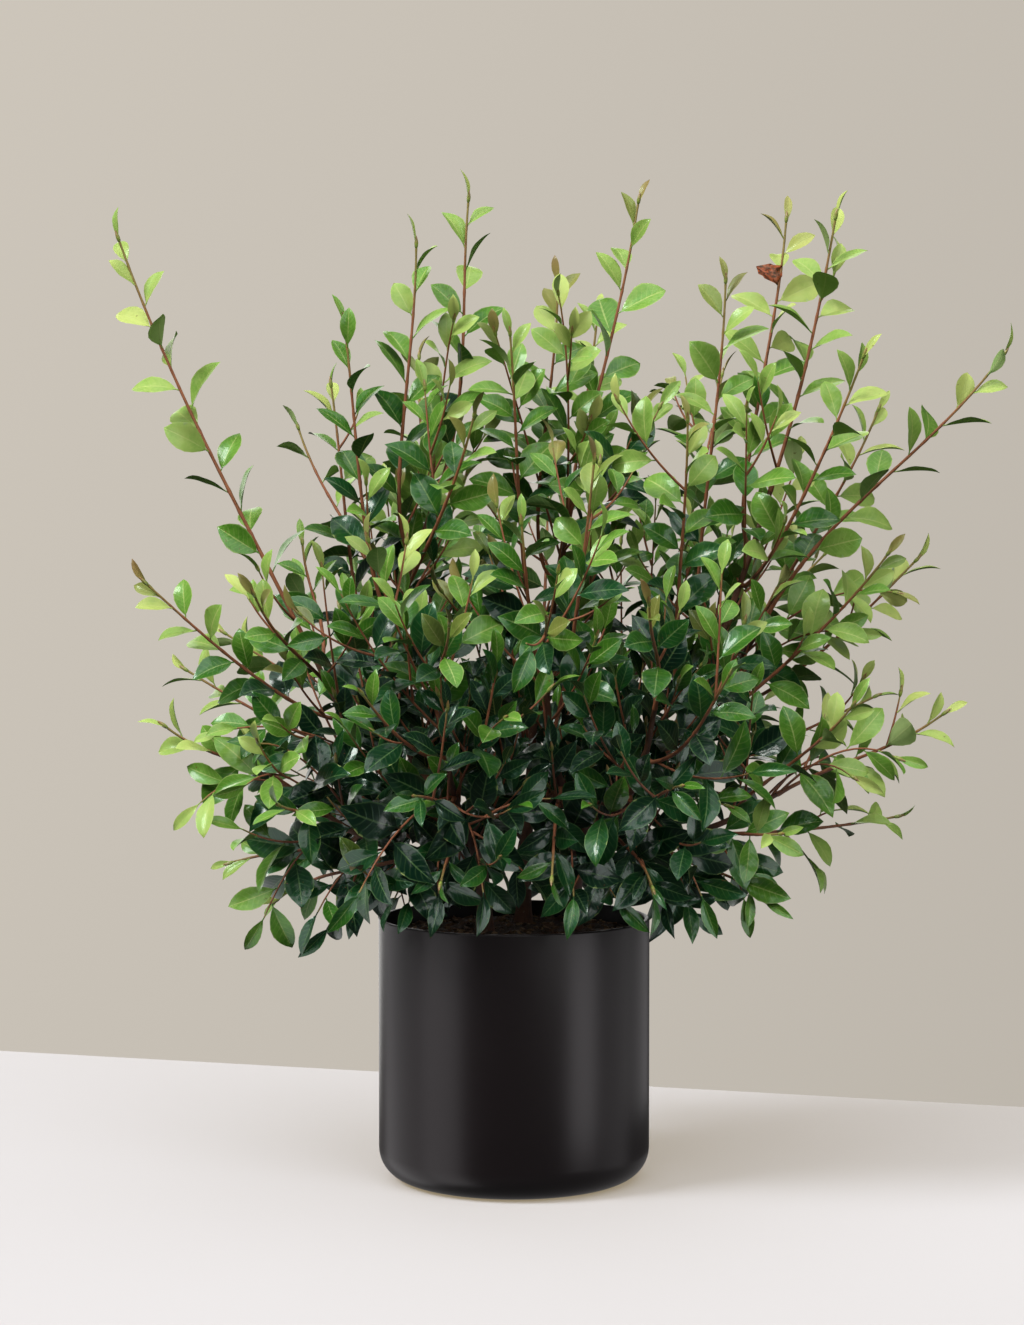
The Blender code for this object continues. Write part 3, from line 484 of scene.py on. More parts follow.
def seen(*colour):
    """A colour as a screen shows it, from 0 to 255, as the linear values that a shader needs."""
    shares = [c / 255 for c in colour]
    return tuple(c / 12.92 if c < 0.04 else ((c + 0.055) / 1.055) ** 2.4 for c in shares)


LEAF_TONES = [
    (0.00, seen(186, 200, 112)),
    (0.20, seen(147, 177, 88)),
    (0.40, seen(98, 142, 50)),
    (0.60, seen(52, 98, 18)),
    (0.80, seen(15, 59, 22)),
    (1.00, seen(3, 28, 16)),
]
UNDERSIDE_TONES = [
    (0.00, seen(170, 190, 128)),
    (0.30, seen(130, 160, 96)),
    (0.60, seen(76, 110, 58)),
    (1.00, seen(32, 60, 36)),
]
BRONZE_TONES = [(0.0, seen(150, 150, 80)), (0.5, seen(146, 120, 74)), (1.0, seen(120, 78, 56))]
PALE_RIB = seen(182, 194, 116)
DARK_RIB = seen(86, 118, 70)
PALE_RIB_UNDER = seen(190, 200, 140)
BROWN_SPOT = seen(98, 64, 36)
MAROON = seen(84, 56, 48)
RUST_DARK, RUST = seen(62, 26, 18), seen(152, 74, 44)
VEINS, VEIN_SLANT = 9.0, 1.7  # how many there are along a leaf, and how far they lean to its tip
LEAF_GLOW = (0.31, 0.48, 0.10)  # of the light that comes through
LEAF_SHEEN = (0.45, 0.86, 0.66, 1.0)
BARK_DARK = seen(52, 34, 22)
BARK_RED = seen(112, 66, 38)
BARK_CRACK = seen(38, 25, 18)
BARK_GREY = seen(128, 114, 94)
SHOOT_GREEN = seen(126, 112, 56)
SHOOT_RED = seen(146, 86, 52)
BUD_GREEN, BUD_BRONZE, BUD_TIP = seen(128, 146, 66), seen(134, 104, 62), seen(92, 60, 44)
COAT_DARK = (0.0055, 0.0040, 0.0045)
COAT_LIGHT = (0.0085, 0.0064, 0.0071)
SOIL_DARK = seen(26, 18, 12)
SOIL_BROWN = seen(66, 46, 31)
SOIL_FLECK = seen(126, 102, 76)
CHIP_TONES = [(0.0, seen(52, 35, 23)), (0.5, seen(98, 68, 44)), (1.0, seen(142, 114, 82))]


def clamped(value):
    return max(0.0, min(1.0, value))


def bell(far, reach):
    """1 at no distance, and smoothly less the farther it is."""
    return math.exp(-((far / reach) ** 2))


class Room:
    """The solids placed so far, found again by where they are, so that new growth is bent clear of them."""

    def __init__(self):
        self.cells = {}

    def cells_of(self, points):
        lows = [math.floor(min(p[i] for p in points) / CELL) for i in range(3)]
        highs = [math.floor(max(p[i] for p in points) / CELL) for i in range(3)]
        for x in range(lows[0], highs[0] + 1):
            for y in range(lows[1], highs[1] + 1):
                for z in range(lows[2], highs[2] + 1):
                    yield x, y, z

    def add(self, points, faces, owner=None):
        entry = (BVHTree.FromPolygons(points, faces), owner)
        for cell in self.cells_of(points):
            self.cells.setdefault(cell, []).append(entry)

    def add_tube(self, points, radii, sides, owner=None):
        for i in range(len(points) - 1):
            self.add(*tube(points[i : i + 2], radii[i : i + 2], sides), owner)

    def is_clear(self, points, faces, but=None):
        tree = BVHTree.FromPolygons(points, faces)
        tested = set()
        for cell in self.cells_of(points):
            for entry in self.cells.get(cell, ()):
                other, owner = entry
                if id(other) in tested or (but is not None and owner == but):
                    continue
                tested.add(id(other))
                if tree.overlap(other):
                    return False
        return True


def turned(profile, sides):
    """Points and faces of a solid turned about Z. Its profile of (radius, height) runs from axis to axis."""
    points, rings = [], []
    for radius, height in profile:
        start = len(points)
        if radius == 0:
            points.append(Vector((0, 0, height)))
            rings.append([start] * sides)
            continue
        for i in range(sides):
            angle = math.tau * i / sides
            points.append(Vector((radius * math.cos(angle), radius * math.sin(angle), height)))
        rings.append(list(range(start, start + sides)))
    faces = []
    for lower, upper in zip(rings, rings[1:]):
        for i in range(sides):
            j = (i + 1) % sides
            corners = [lower[i], lower[j], upper[j], upper[i]]
            faces.append(list(dict.fromkeys(corners)))
    return points, faces


def edge_arc(radius, edge, base, steps):
    """The round bottom edge of a turned form, from its flat base out and up to its side."""
    middle = radius - edge
    turns = [math.pi / 2 * i / steps for i in range(steps + 1)]
    return [(middle + edge * math.sin(a), base + edge - edge * math.cos(a)) for a in turns]


def soil_height(x, y):
    """The top of the potting mix: a low mound with a few lumps."""
    share = clamped(math.hypot(x, y) / POT_RADIUS)
    lumps = math.sin(61 * x + 1.3) * math.cos(47 * y) + 0.6 * math.sin(97 * y + 40 * x)
    return SOIL_TOP + SOIL_MOUND * (1 - share**2) + SOIL_LUMPS * lumps * (1 - share**4)


def smooth_line(points, count):
    """count points along a smooth curve through the given ones."""
    ends = [points[0] * 2 - points[1], *points, points[-1] * 2 - points[-2]]
    spans = len(points) - 1
    line = []
    for i in range(count):
        place = i / (count - 1) * spans
        k = min(int(place), spans - 1)
        t = place - k
        a, b, c, d = ends[k : k + 4]
        squared, cubed = 2 * a - 5 * b + 4 * c - d, 3 * b - a - 3 * c + d
        line.append(0.5 * (2 * b + (c - a) * t + squared * t**2 + cubed * t**3))
    return line


def along(line, share):
    """The point and the direction at that share of a line of points."""
    place = clamped(share) * (len(line) - 1)
    k = min(int(place), len(line) - 2)
    return line[k].lerp(line[k + 1], place - k), (line[k + 1] - line[k]).normalized()


def tube(points, radii, sides):
    """Points and faces of a closed tube along a line, with flat ends."""
    count = len(points)
    tangents = [(points[min(i + 1, count - 1)] - points[max(i - 1, 0)]).normalized() for i in range(count)]
    side = tangents[0].orthogonal().normalized()
    if abs(tangents[0].z) > UPRIGHT:
        side = Vector((1, 0, 0))
    rings, verts = [], []
    for i in range(count):
        if i:
            side = tangents[i - 1].rotation_difference(tangents[i]) @ side
        other = tangents[i].cross(side)
        start = len(verts)
        for j in range(sides):
            angle = math.tau * j / sides
            verts.append(points[i] + (side * math.cos(angle) + other * math.sin(angle)) * radii[i])
        rings.append(list(range(start, start + sides)))
    faces = [list(reversed(rings[0])), rings[-1]]
    for low, high in zip(rings, rings[1:]):
        for j in range(sides):
            k = (j + 1) % sides
            faces.append([low[j], low[k], high[k], high[j]])
    return verts, faces


def taper(foot, end, count):
    return [foot + (end - foot) * i / (count - 1) for i in range(count)]


def trunk_line(name):
    (x, y), *above = TRUNKS[name]
    buried = [Vector((x, y, SOIL_TOP - HOLE_DEPTH)), Vector((x, y, SOIL_TOP + 2 * SOIL_MOUND))]
    return buried + [Vector(p) for p in above]


def limb_line(name):
    points = [Vector(p) for p in LIMBS[name][1]]
    return smooth_line(points, 2 * len(points) - 1)


def stem_curve(limb, share, tip, lift, bow):
    """Points close together on the centre line of a leafy stem, from just off its limb to its end."""
    path = limb_line(limb)
    on_limb, limb_way = along(path, share)
    way = Vector(tip) - on_limb
    if share == 1:
        out, start = limb_way, on_limb + limb_way * GAP
    else:
        radius = LIMB_FOOT + (LIMB_END - LIMB_FOOT) * share
        out = (way - limb_way * way.dot(limb_way)).normalized()
        start = on_limb + out * (radius + GAP)
    end_way = (way.normalized() + Vector((0, 0, lift))).normalized()
    end = Vector(tip) - end_way * TIP_LEAF
    span = (end - start).length
    heel = start + out * HEEL
    forwards = (out + limb_way * FORWARDS).normalized()
    handle_a = heel + forwards * min(span * STEM_REACH, LONGEST_HANDLE)
    if share == 1:
        handle_a = heel + out * span * STEM_REACH + bow
    handle_b = end - end_way * span * STEM_REACH + bow
    line = [start]
    for i in range(CURVE_POINTS):
        t = i / (CURVE_POINTS - 1)
        s = 1 - t
        line.append(heel * s**3 + handle_a * 3 * s * s * t + handle_b * 3 * s * t * t + end * t**3)
    return line


def lengths_along(line):
    """How far along the line each of its points lies."""
    far = [0.0]
    for a, b in zip(line, line[1:]):
        far.append(far[-1] + (b - a).length)
    return far


def at_length(line, far, wanted):
    """The point and the direction that far along the line."""
    wanted = max(0.0, min(far[-1], wanted))
    k = 0
    while k < len(far) - 2 and far[k + 1] < wanted:
        k += 1
    share = (wanted - far[k]) / (far[k + 1] - far[k])
    return line[k].lerp(line[k + 1], share), (line[k + 1] - line[k]).normalized()


def leaf_spots(far, habit, name):
    """The places of a stem's leaves, from its end down: number, distance along it and turn round it."""
    spacing = HABITS[habit]["spacing"]
    bearing = far[-1] * (1 - HABITS[habit]["bare"])
    first = random.Random(name).uniform(0, math.tau)
    return [(i, far[-1] - i * spacing, first + i * SPIRAL) for i in range(int(bearing / spacing))]


def light_at(point):
    """The way that leaves turn their upper sides: up, and out to the side of the plant they are on."""
    behind = clamped((point.y - FRONT_UP_TO) / (BEHIND_FROM - FRONT_UP_TO))
    return Vector((point.x * TO_SIDE, -TO_FRONT * (1 - TO_BACK * behind), TO_SKY))


def leaf_pose(line, far, spot, habit, name, more_turn=0, more_angle=0):
    """Where a leaf is rooted, the way it grows, the way it faces, and its size and shape."""
    number, place, turn = spot
    form = HABITS[habit]
    draw = random.Random(f"{name} {number}")
    root, stem_way = at_length(line, far, place)
    side = stem_way.cross(Vector((0, 0, 1)))
    if side.length < 0.1:
        side = Vector((1, 0, 0))
    out = Quaternion(stem_way, turn + math.radians(more_turn)) @ side.normalized()
    light = light_at(root)
    across = (light - stem_way * light.dot(stem_way)).normalized()
    out = (out - across * out.dot(across) * FLATTENED).normalized()
    young = max(0.0, 1 - number / YOUNG_LEAVES)
    spread = draw.uniform(-ANGLE_SPREAD, ANGLE_SPREAD)
    angle = math.radians(form["angle"] + more_angle + spread - YOUNG_CLOSED * young)
    if number == 0:
        angle = math.radians(LAST_ANGLE)
    way = stem_way * math.cos(angle) + out * math.sin(angle)
    way = (way + Vector((0, 0, -1)) * form["droop"] * (1 - young) * draw.uniform(*DROOP_SPREAD)).normalized()
    inward = stem_way * math.sin(angle) - out * math.cos(angle)
    stray = Vector((draw.uniform(-1, 1), draw.uniform(-1, 1), draw.uniform(-0.5, 0.5))) * SCATTER
    face = inward * INWARD + light + stray
    size = 1 - (1 - YOUNG_SHARE) * young
    length = form["length"] * draw.uniform(*LENGTH_SPREAD) * size
    width = length * form["width"] * draw.uniform(*WIDTH_SPREAD) * (1 + size) / 2
    arch = draw.uniform(*ARCH)
    fold = draw.uniform(*FOLD)
    if number:
        root = root + out * STEM_TIP
    return root, way, face, length, width, arch, fold


def blade_points(root, way, face, length, width, arch, fold, room_for=0.0):
    """The cross-sections of a leaf: under the midrib, left edge, midrib, right edge, twice, then its tip.

    It is a thin blade, folded along its midrib and arched towards its tip. way is the midrib's
    direction and face the upper side's. room_for makes it that much fatter all round.
    """
    face = (face - way * face.dot(way)).normalized()
    side = way.cross(face)

    def at(share, across, up):
        bend = -arch * length * share**2
        return root + way * (length * share) + side * across + face * (up + bend + fold * abs(across))

    half = BLADE_HALF + room_for
    points = []
    for station, part in ((LOW_STATION, LOW_WIDTH), (HIGH_STATION, HIGH_WIDTH)):
        wide = width / 2 * part + room_for
        points += [at(station, 0, -half), at(station, -wide, 0), at(station, 0, half), at(station, wide, 0)]
    return points + [at(1 + room_for / length, 0, 0)]


def blade_faces(foot, first):
    """Faces of a leaf from its four foot corners on, where first is the number of its first point."""
    low = [first + i for i in range(4)]
    high = [first + 4 + i for i in range(4)]
    tip = first + 8
    faces = []
    for i in range(4):
        j = (i + 1) % 4
        faces.append((foot[i], foot[j], low[i]))
        faces.append((foot[j], low[j], low[i]))
        faces.append((high[i], high[j], tip))
        if i % 2:
            faces.append((low[i], low[j], high[i]))
            faces.append((low[j], high[j], high[i]))
        else:
            faces.append((low[i], low[j], high[j]))
            faces.append((low[i], high[j], high[i]))
    return faces


def blade_test(pose, room_for, start):
    """A closed stand-in for a leaf, fatter by room_for, without the first share of it."""
    root, way, _, length, *_ = pose
    points = blade_points(*pose, room_for=room_for)
    middle = root + way * (length * start)
    corner = [middle.lerp(points[i], TEST_FOOT) for i in range(4)]
    return corner + points, [(3, 2, 1, 0), *blade_faces(range(4), 4)]


def chosen_spots(far, habit, name):
    """The spots whose leaves are modelled: the one at the stem's end, and others evenly down the stem."""
    spots = leaf_spots(far, habit, name)
    stride = max(1, round(LEAF_EVERY / HABITS[habit]["spacing"]))
    return spots[::stride]


def stem_rings(line, far, spots):
    """A stem's rings and radii as modelled, with a short straight band at each leaf, and each band's ring."""
    lowest = spots[-1][1]
    places = [0.0, HEEL]
    bare = int((lowest - HEEL) / LEAF_EVERY)
    places += [HEEL + (lowest - HEEL) * (i + 1) / (bare + 1) for i in range(bare)]
    bands = {}
    for number, place, _ in reversed(spots[1:]):
        bands[number] = len(places)
        places += [place - BAND / 2, place + BAND / 2]
    places.append(far[-1])
    rings = [at_length(line, far, place)[0] for place in places]
    radii = [STEM_FOOT + (STEM_TIP - STEM_FOOT) * place / far[-1] for place in places]
    return rings, radii, bands


def run_stem(spec, name, room):
    """The first of the stem's curves that stays clear of what already stands there."""
    limb, share, tip, lift, habit = spec
    for bow in BOWS:
        line = stem_curve(limb, share, tip, lift, bow)
        far = lengths_along(line)
        rings, radii, _ = stem_rings(line, far, chosen_spots(far, habit, name))
        wide = [r + BESIDE for r in radii]
        pieces = [tube(rings[i : i + 2], wide[i : i + 2], STEM_SIDES) for i in range(1, len(rings) - 1)]
        if all(room.is_clear(*piece) for piece in pieces):
            room.add_tube(rings, radii, STEM_SIDES, name)
            return line
    raise ValueError(f"{name} on {limb} runs into another stem")


def band_foot(points, rings, start, way):
    """The corners of that side of the stem's band, from ring number start on, that faces the leaf's way."""
    middle = (rings[start] + rings[start + 1]) / 2
    low = start * STEM_SIDES
    feet = []
    for j in range(STEM_SIDES):
        k = (j + 1) % STEM_SIDES
        feet.append([low + j, low + k, low + STEM_SIDES + k, low + STEM_SIDES + j])
    return max(feet, key=lambda foot: (sum((points[v] for v in foot), Vector()) / 4 - middle).dot(way))


def least_twisted(foot, points, leaf):
    """The foot's corners, started from the one that leads to the leaf with the least twist."""
    def twist(turn):
        return sum((points[foot[(i + turn) % 4]] - leaf[i]).length for i in range(4))

    turn = min(range(4), key=twist)
    return foot[turn:] + foot[:turn]


def runs_through(points, faces, added):
    """Whether an added face runs through any face that it shares no corner with."""
    every = faces + added
    pairs = BVHTree.FromPolygons(points, added).overlap(BVHTree.FromPolygons(points, every))
    return any(not set(added[i]) & set(every[j]) for i, j in pairs)


def grow_modelled_leaves(line, habit, name, room):
    """The poses of those leaves of a stem that the solids have too, by their numbers."""
    far = lengths_along(line)
    rings, radii, bands = stem_rings(line, far, chosen_spots(far, habit, name))
    points, faces = tube(rings, radii, STEM_SIDES)
    poses = {}
    for spot in chosen_spots(far, habit, name):
        for more_turn, more_angle in TURNS:
            pose = leaf_pose(line, far, spot, habit, name, more_turn, more_angle)
            if not room.is_clear(*blade_test(pose, LEAF_ROOM, FREE_FROM), but=name):
                continue
            leaf = blade_points(*pose)
            if spot[0]:
                foot = band_foot(points, rings, bands[spot[0]], pose[1])
            else:
                foot = list(range((len(rings) - 1) * STEM_SIDES, len(rings) * STEM_SIDES))
            rest = [face for face in faces if face != foot]
            added = blade_faces(least_twisted(foot, points, leaf), len(points))
            if runs_through(points + leaf, rest, added):
                continue
            points, faces = points + leaf, rest + added
            room.add(*blade_test(pose, 0.0, FREE_FROM))
            poses[spot[0]] = pose
            break
    return poses


def grow_other_leaves(line, habit, name, room, done=()):
    """The poses of the leaves between those, wherever there is room for one."""
    far = lengths_along(line)
    poses = {}
    for spot in leaf_spots(far, habit, name):
        if spot[0] in done:
            continue
        for more_turn, more_angle in TURNS:
            pose = leaf_pose(line, far, spot, habit, name, more_turn, more_angle)
            if has_place(pose) and room.is_clear(*blade_test(pose, 0.0, NEAR_FROM)):
                room.add(*blade_test(pose, 0.0, FREE_FROM))
                poses[spot[0]] = pose
                break
    return poses


def in_gap(point):
    """Whether a point lies in front of or behind one of the gaps."""
    nearer = CAMERA_AT[1] / (CAMERA_AT[1] - point.y)
    across, up = point.x * nearer, CAMERA_AT[2] + (point.z - CAMERA_AT[2]) * nearer
    return any(((across - gap[0]) / gap[2]) ** 2 + ((up - gap[1]) / gap[3]) ** 2 < 1 for gap in GAPS)


def over_rim(point, height):
    """Whether a point hides the front of the planter's rim: in front of the plant and below that height."""
    return abs(point.x) < RIM_SHOWS and point.y < 0 and point.z < height


def has_place(pose):
    """Whether a leaf stays within the solids' box and off the planter's front rim."""
    root, way, _, length, *_ = pose
    tip = root + way * length
    if over_rim(tip, RIM_CLEAR) or any(in_gap(root.lerp(tip, share)) for share in GAP_TESTS):
        return False
    return all(CAD_BOX[0][i] - BOX_SLACK < tip[i] < CAD_BOX[1][i] + BOX_SLACK for i in range(3))


class Taken:
    """Places that have foliage, found again by where they are."""

    def __init__(self):
        self.cells = {}

    def cell(self, point):
        return tuple(math.floor(c / NEAREST) for c in point)

    def add(self, point):
        self.cells.setdefault(self.cell(point), []).append(point)

    def space(self, point):
        """How far it is to the nearest foliage, up to NEAREST."""
        x, y, z = self.cell(point)
        found = NEAREST
        for cell in ((x + i, y + j, z + k) for i in (-1, 0, 1) for j in (-1, 0, 1) for k in (-1, 0, 1)):
            for other in self.cells.get(cell, ()):
                found = min(found, (other - point).length)
        return found


def in_crown(point, edge):
    """Whether a point lies in the dense part of the plant, whose sides are drawn in or out by edge."""
    x, y, z = point
    for low, high in zip(CROWN_SIDES, CROWN_SIDES[1:]):
        if low[0] <= z <= high[0]:
            t = (z - low[0]) / (high[0] - low[0])
            left, right, deep = (a + (b - a) * t for a, b in zip(low[1:], high[1:]))
            aside = ((x - (left + right) / 2) / ((right - left) / 2)) ** 2
            return aside < edge**2 and abs(y) < deep * edge * math.sqrt(1 - clamped(aside) * SIDES_SHALLOW)
    return False


def arc(start, bend, end, steps):
    """Points along a curve that leaves its start towards the bend and reaches its end from there."""
    shares = [i / steps for i in range(steps + 1)]
    return [start.lerp(bend, share).lerp(bend.lerp(end, share), share) for share in shares]


def finds_room(path, marks, room, taken):
    """Whether a twig can grow along a path. Then it does, and the marks count as foliage."""
    solid = tube(path, [TWIG_RADIUS] * len(path), STEM_SIDES)
    if not room.is_clear(*solid):
        return False
    room.add(*solid)
    for point in marks:
        taken.add(point)
    return True


def ways_from(root, way, length, draw, taken, anywhere):
    """The freest ways that a shoot of that length can grow from its root on a piece of wood."""
    start_turn = draw.uniform(0, math.tau)
    edge = draw.uniform(*CROWN_EDGE)
    lift = SHOOT_DROOP if root.z < DROOP_BELOW and draw.random() < HALF_DROOP else SHOOT_LIFT
    ways = []
    for i in range(SHOOT_TRIES):
        out = Quaternion(way, start_turn + i * math.tau / SHOOT_TRIES) @ way.orthogonal().normalized()
        angle = math.radians(draw.uniform(*SHOOT_ANGLES))
        start_way = way * math.cos(angle) + out * math.sin(angle)
        end_way = (start_way + Vector((0, 0, lift))).normalized()
        end = root + (start_way + end_way).normalized() * length
        if over_rim(end, RIM_CLEAR + LEAVES_HANG) or in_gap(end):
            continue
        if anywhere or in_crown(end, edge):
            free = min(taken.space(end), taken.space(root.lerp(end, MIDDLE)))
            ways.append((free, out, start_way, end))
    return sorted(ways, key=lambda found: -found[0])[:BEST_TRIES]


def shoots_from(line, radius, form, name, room, taken, anywhere=False):
    """New shoots along a piece of wood, each grown into the freest space round it."""
    first, last, every, reach, space = form
    far = lengths_along(line)
    draw = random.Random(name + " shoots")
    paths = []
    place = far[-1] * first
    while place < far[-1] * last:
        root, way = at_length(line, far, place)
        place += every * draw.uniform(*SHOOT_SPREAD)
        length = draw.uniform(*reach)
        for free, out, start_way, end in ways_from(root, way, length, draw, taken, anywhere):
            if free < space:
                break
            start = root + out * radius * SHOOT_SUNK
            path = arc(start, start + start_way * length * SHOOT_BEND, end, SHOOT_STEPS)
            if finds_room(path[1::2], [end, path[SHOOT_MARK]], room, taken):
                paths.append(path)
                break
    return paths


def arched_shoots(limb, room, taken):
    """The arched shoots of a limb, bent clear of what is there."""
    paths = []
    for owner, share, tip in ARCHED_SHOOTS:
        if owner != limb:
            continue
        start, _ = along(limb_line(limb), share)
        tip = Vector(tip)
        for bow in BOWS:
            top = start.lerp(tip, ARCH_TOP) + Vector((0, 0, ARCH_RISE)) + bow
            path = arc(start, top, tip, ARCH_STEPS)
            if finds_room(path[2::2], [path[SHOOT_MARK]], room, taken):
                paths.append(path)
                break
    return paths


# Finishes


class Wire:
    """A node's output. Python's arithmetic on it adds Math nodes to its material."""

    def __init__(self, paint, socket):
        self.paint = paint
        self.socket = socket

    def maths(self, operation, first, second):
        return self.paint.node("ShaderNodeMath", {"operation": operation}, {0: first, 1: second})

    def __add__(self, other):
        return self.maths("ADD", self, other)

    def __sub__(self, other):
        return self.maths("SUBTRACT", self, other)

    def __rsub__(self, other):
        return self.maths("SUBTRACT", other, self)

    def __mul__(self, other):
        return self.maths("MULTIPLY", self, other)

    def __truediv__(self, other):
        return self.maths("DIVIDE", self, other)

    def __pow__(self, other):
        return self.maths("POWER", self, other)

    def __abs__(self):
        return self.maths("ABSOLUTE", self, 0.0)

    __radd__ = __add__
    __rmul__ = __mul__


class Paint:
    """A material, or another owner of nodes, in the making."""

    def __init__(self, name, owner=None):
        self.material = owner or bpy.data.materials.new(name)
        self.material.use_nodes = True
        self.tree = self.material.node_tree
        self.tree.nodes.clear()

    def node(self, kind, settings=None, inputs=None, output=0):
        made = self.tree.nodes.new(kind)
        for name, value in (settings or {}).items():
            if name == "stops":
                while len(made.color_ramp.elements) < len(value):
                    made.color_ramp.elements.new(0.5)
                for element, (place, colour) in zip(made.color_ramp.elements, value):
                    element.position = place
                    element.color = (*colour, 1.0)
            else:
                setattr(made, name, value)
        for key, value in (inputs or {}).items():
            if isinstance(value, Wire):
                self.tree.links.new(value.socket, made.inputs[key])
            else:
                made.inputs[key].default_value = value
        return Wire(self, made.outputs[output])

    def told(self, name, output="Fac"):
        """What the mesh says there under that name."""
        return self.node("ShaderNodeAttribute", {"attribute_name": name}, output=output)

    def noise(self, where, scale, detail=2.0, roughness=0.5):
        inputs = {"Vector": where, "Scale": scale, "Detail": detail, "Roughness": roughness}
        return self.node("ShaderNodeTexNoise", {"noise_dimensions": "3D"}, inputs, "Fac")

    def fraction(self, value):
        """What a value has past its last whole number, for things that repeat."""
        return self.node("ShaderNodeMath", {"operation": "FRACT"}, {0: value})

    def step(self, value, low, high):
        """0 below low, 1 above high, and smooth between them."""
        settings = {"interpolation_type": "SMOOTHSTEP"}
        inputs = {"Value": value, "From Min": low, "From Max": high}
        return self.node("ShaderNodeMapRange", settings, inputs)

    def ramp(self, value, stops):
        return self.node("ShaderNodeValToRGB", {"stops": stops}, {"Fac": value})

    def mix(self, share, first, second):
        sockets = {0: share}
        for key, colour in ((6, first), (7, second)):
            sockets[key] = colour if isinstance(colour, Wire) else (*colour, 1.0)
        return self.node("ShaderNodeMix", {"data_type": "RGBA"}, sockets, 2)

    def bump(self, height, depth, strength=1.0):
        inputs = {"Height": height, "Distance": depth, "Strength": strength}
        return self.node("ShaderNodeBump", None, inputs)

    def shader(self, **inputs):
        named = {key.replace("_", " "): value for key, value in inputs.items()}
        return self.node("ShaderNodeBsdfPrincipled", None, named)

    def done(self, surface, kind="ShaderNodeOutputMaterial"):
        out = self.tree.nodes.new(kind)
        self.tree.links.new(surface.socket, out.inputs["Surface"])
        return self.material


def leaf_finish(name, upper):
    """One side of the leaves: green by age and painted shade, with paler ribs and margin, bronze when young,
    a few spotted.
    """
    p = Paint(name)
    along, across = p.told("along"), abs(p.told("across"))
    age, seed, flush = p.told("age"), p.told("seed"), p.told("flush")
    grain = p.told("grain", "Vector")
    blotch = p.noise(grain, 60.0, 3.0)
    mottle = p.noise(grain, 300.0, 3.0, 0.6)
    # The tone carries painted shade and light by the leaf's place as well as its age
    tone = age + (blotch - 0.5) * 0.28 + (mottle - 0.5) * 0.16
    ribs = p.fraction(along * VEINS - across * VEIN_SLANT)
    vein = (1.0 - p.step(abs(ribs - 0.5), 0.02, 0.16)) * (1.0 - across * across) * p.step(along, 0.1, 0.25)
    midrib = 1.0 - p.step(across, 0.02, 0.08)
    margin = p.step(across, 0.87, 0.98)
    green = p.ramp(tone, LEAF_TONES if upper else UNDERSIDE_TONES)
    dark = p.step(tone, 0.3, 0.9)
    rib = p.mix(dark, PALE_RIB, DARK_RIB) if upper else p.mix(dark, PALE_RIB_UNDER, PALE_RIB)
    paler = p.mix(midrib * 0.55 + vein * 0.18 + margin * 0.45, green, rib)
    bronzed = p.mix(flush, paler, p.mix(p.step(seed, 0.55, 0.9), p.ramp(along, BRONZE_TONES), MAROON))
    spots = p.step(p.noise(grain, 260.0, 1.0), 0.735, 0.76) * p.step(seed, 0.45, 0.8)
    edge_burnt = p.step(along + blotch * 0.16, 1.06, 1.11) * p.step(seed, 0.6, 0.7)
    marked = p.mix(spots * 0.7 + edge_burnt * 0.8, bronzed, BROWN_SPOT)
    colour = p.mix(p.step(flush, 1.1, 1.3), marked, p.mix(p.step(mottle, 0.35, 0.65), RUST_DARK, RUST))
    height = mottle * 0.10 + vein * age * age * (1.1 if upper else -0.8) - midrib * (0.7 if upper else -1.0)
    normal = p.bump(height, 0.00025, 0.55)
    gloss = (0.36 + blotch * 0.10 - age * 0.12) if upper else (0.46 + blotch * 0.15)
    skin = p.shader(
        Base_Color=colour,
        Roughness=gloss,
        Normal=normal,
        Specular_IOR_Level=0.26 if upper else 0.14,
        Specular_Tint=LEAF_SHEEN,
        Coat_Weight=(0.12 + age * 0.32) if upper else 0.0,
        Coat_Roughness=0.11,
    )
    glow = p.node("ShaderNodeBsdfTranslucent", None, {"Color": (*LEAF_GLOW, 1.0)})
    through = (1.0 - p.step(tone, 0.0, 0.8)) * 0.22 + 0.02
    return p.done(p.node("ShaderNodeMixShader", None, {0: through, 1: skin, 2: glow}))


def bark_finish(name, young):
    """Bark with fine cracks along the stem. On young wood its colour runs from green to brown with age."""
    p = Paint(name)
    grain = p.told("grain", "Vector")
    streaked = p.node("ShaderNodeVectorMath", {"operation": "MULTIPLY"}, {0: grain, 1: (1.0, 1.0, 0.12)})
    streaks = p.noise(streaked, 900.0 if young else 420.0, 4.0, 0.65)
    patches = p.noise(grain, 70.0, 3.0)
    knots = p.noise(grain, 260.0, 2.0)
    base = p.mix(patches, BARK_DARK, BARK_RED)
    if young:
        ripe = p.step(p.told("age") + (patches - 0.5) * 0.2, 0.02, 0.25)
        base = p.mix(ripe, SHOOT_GREEN, p.mix(patches, SHOOT_RED, BARK_RED))
    cracks = p.step(streaks, 0.52, 0.68)
    colour = p.mix(cracks * 0.6, base, BARK_CRACK)
    lichen = p.step(knots, 0.66, 0.74) * (0.15 if young else 0.45)
    colour = p.mix(lichen, colour, BARK_GREY)
    normal = p.bump(streaks * -1.0 + knots * 0.4, 0.0003 if young else 0.0009, 0.8)
    return p.done(p.shader(Base_Color=colour, Roughness=0.62 + patches * 0.25, Normal=normal))


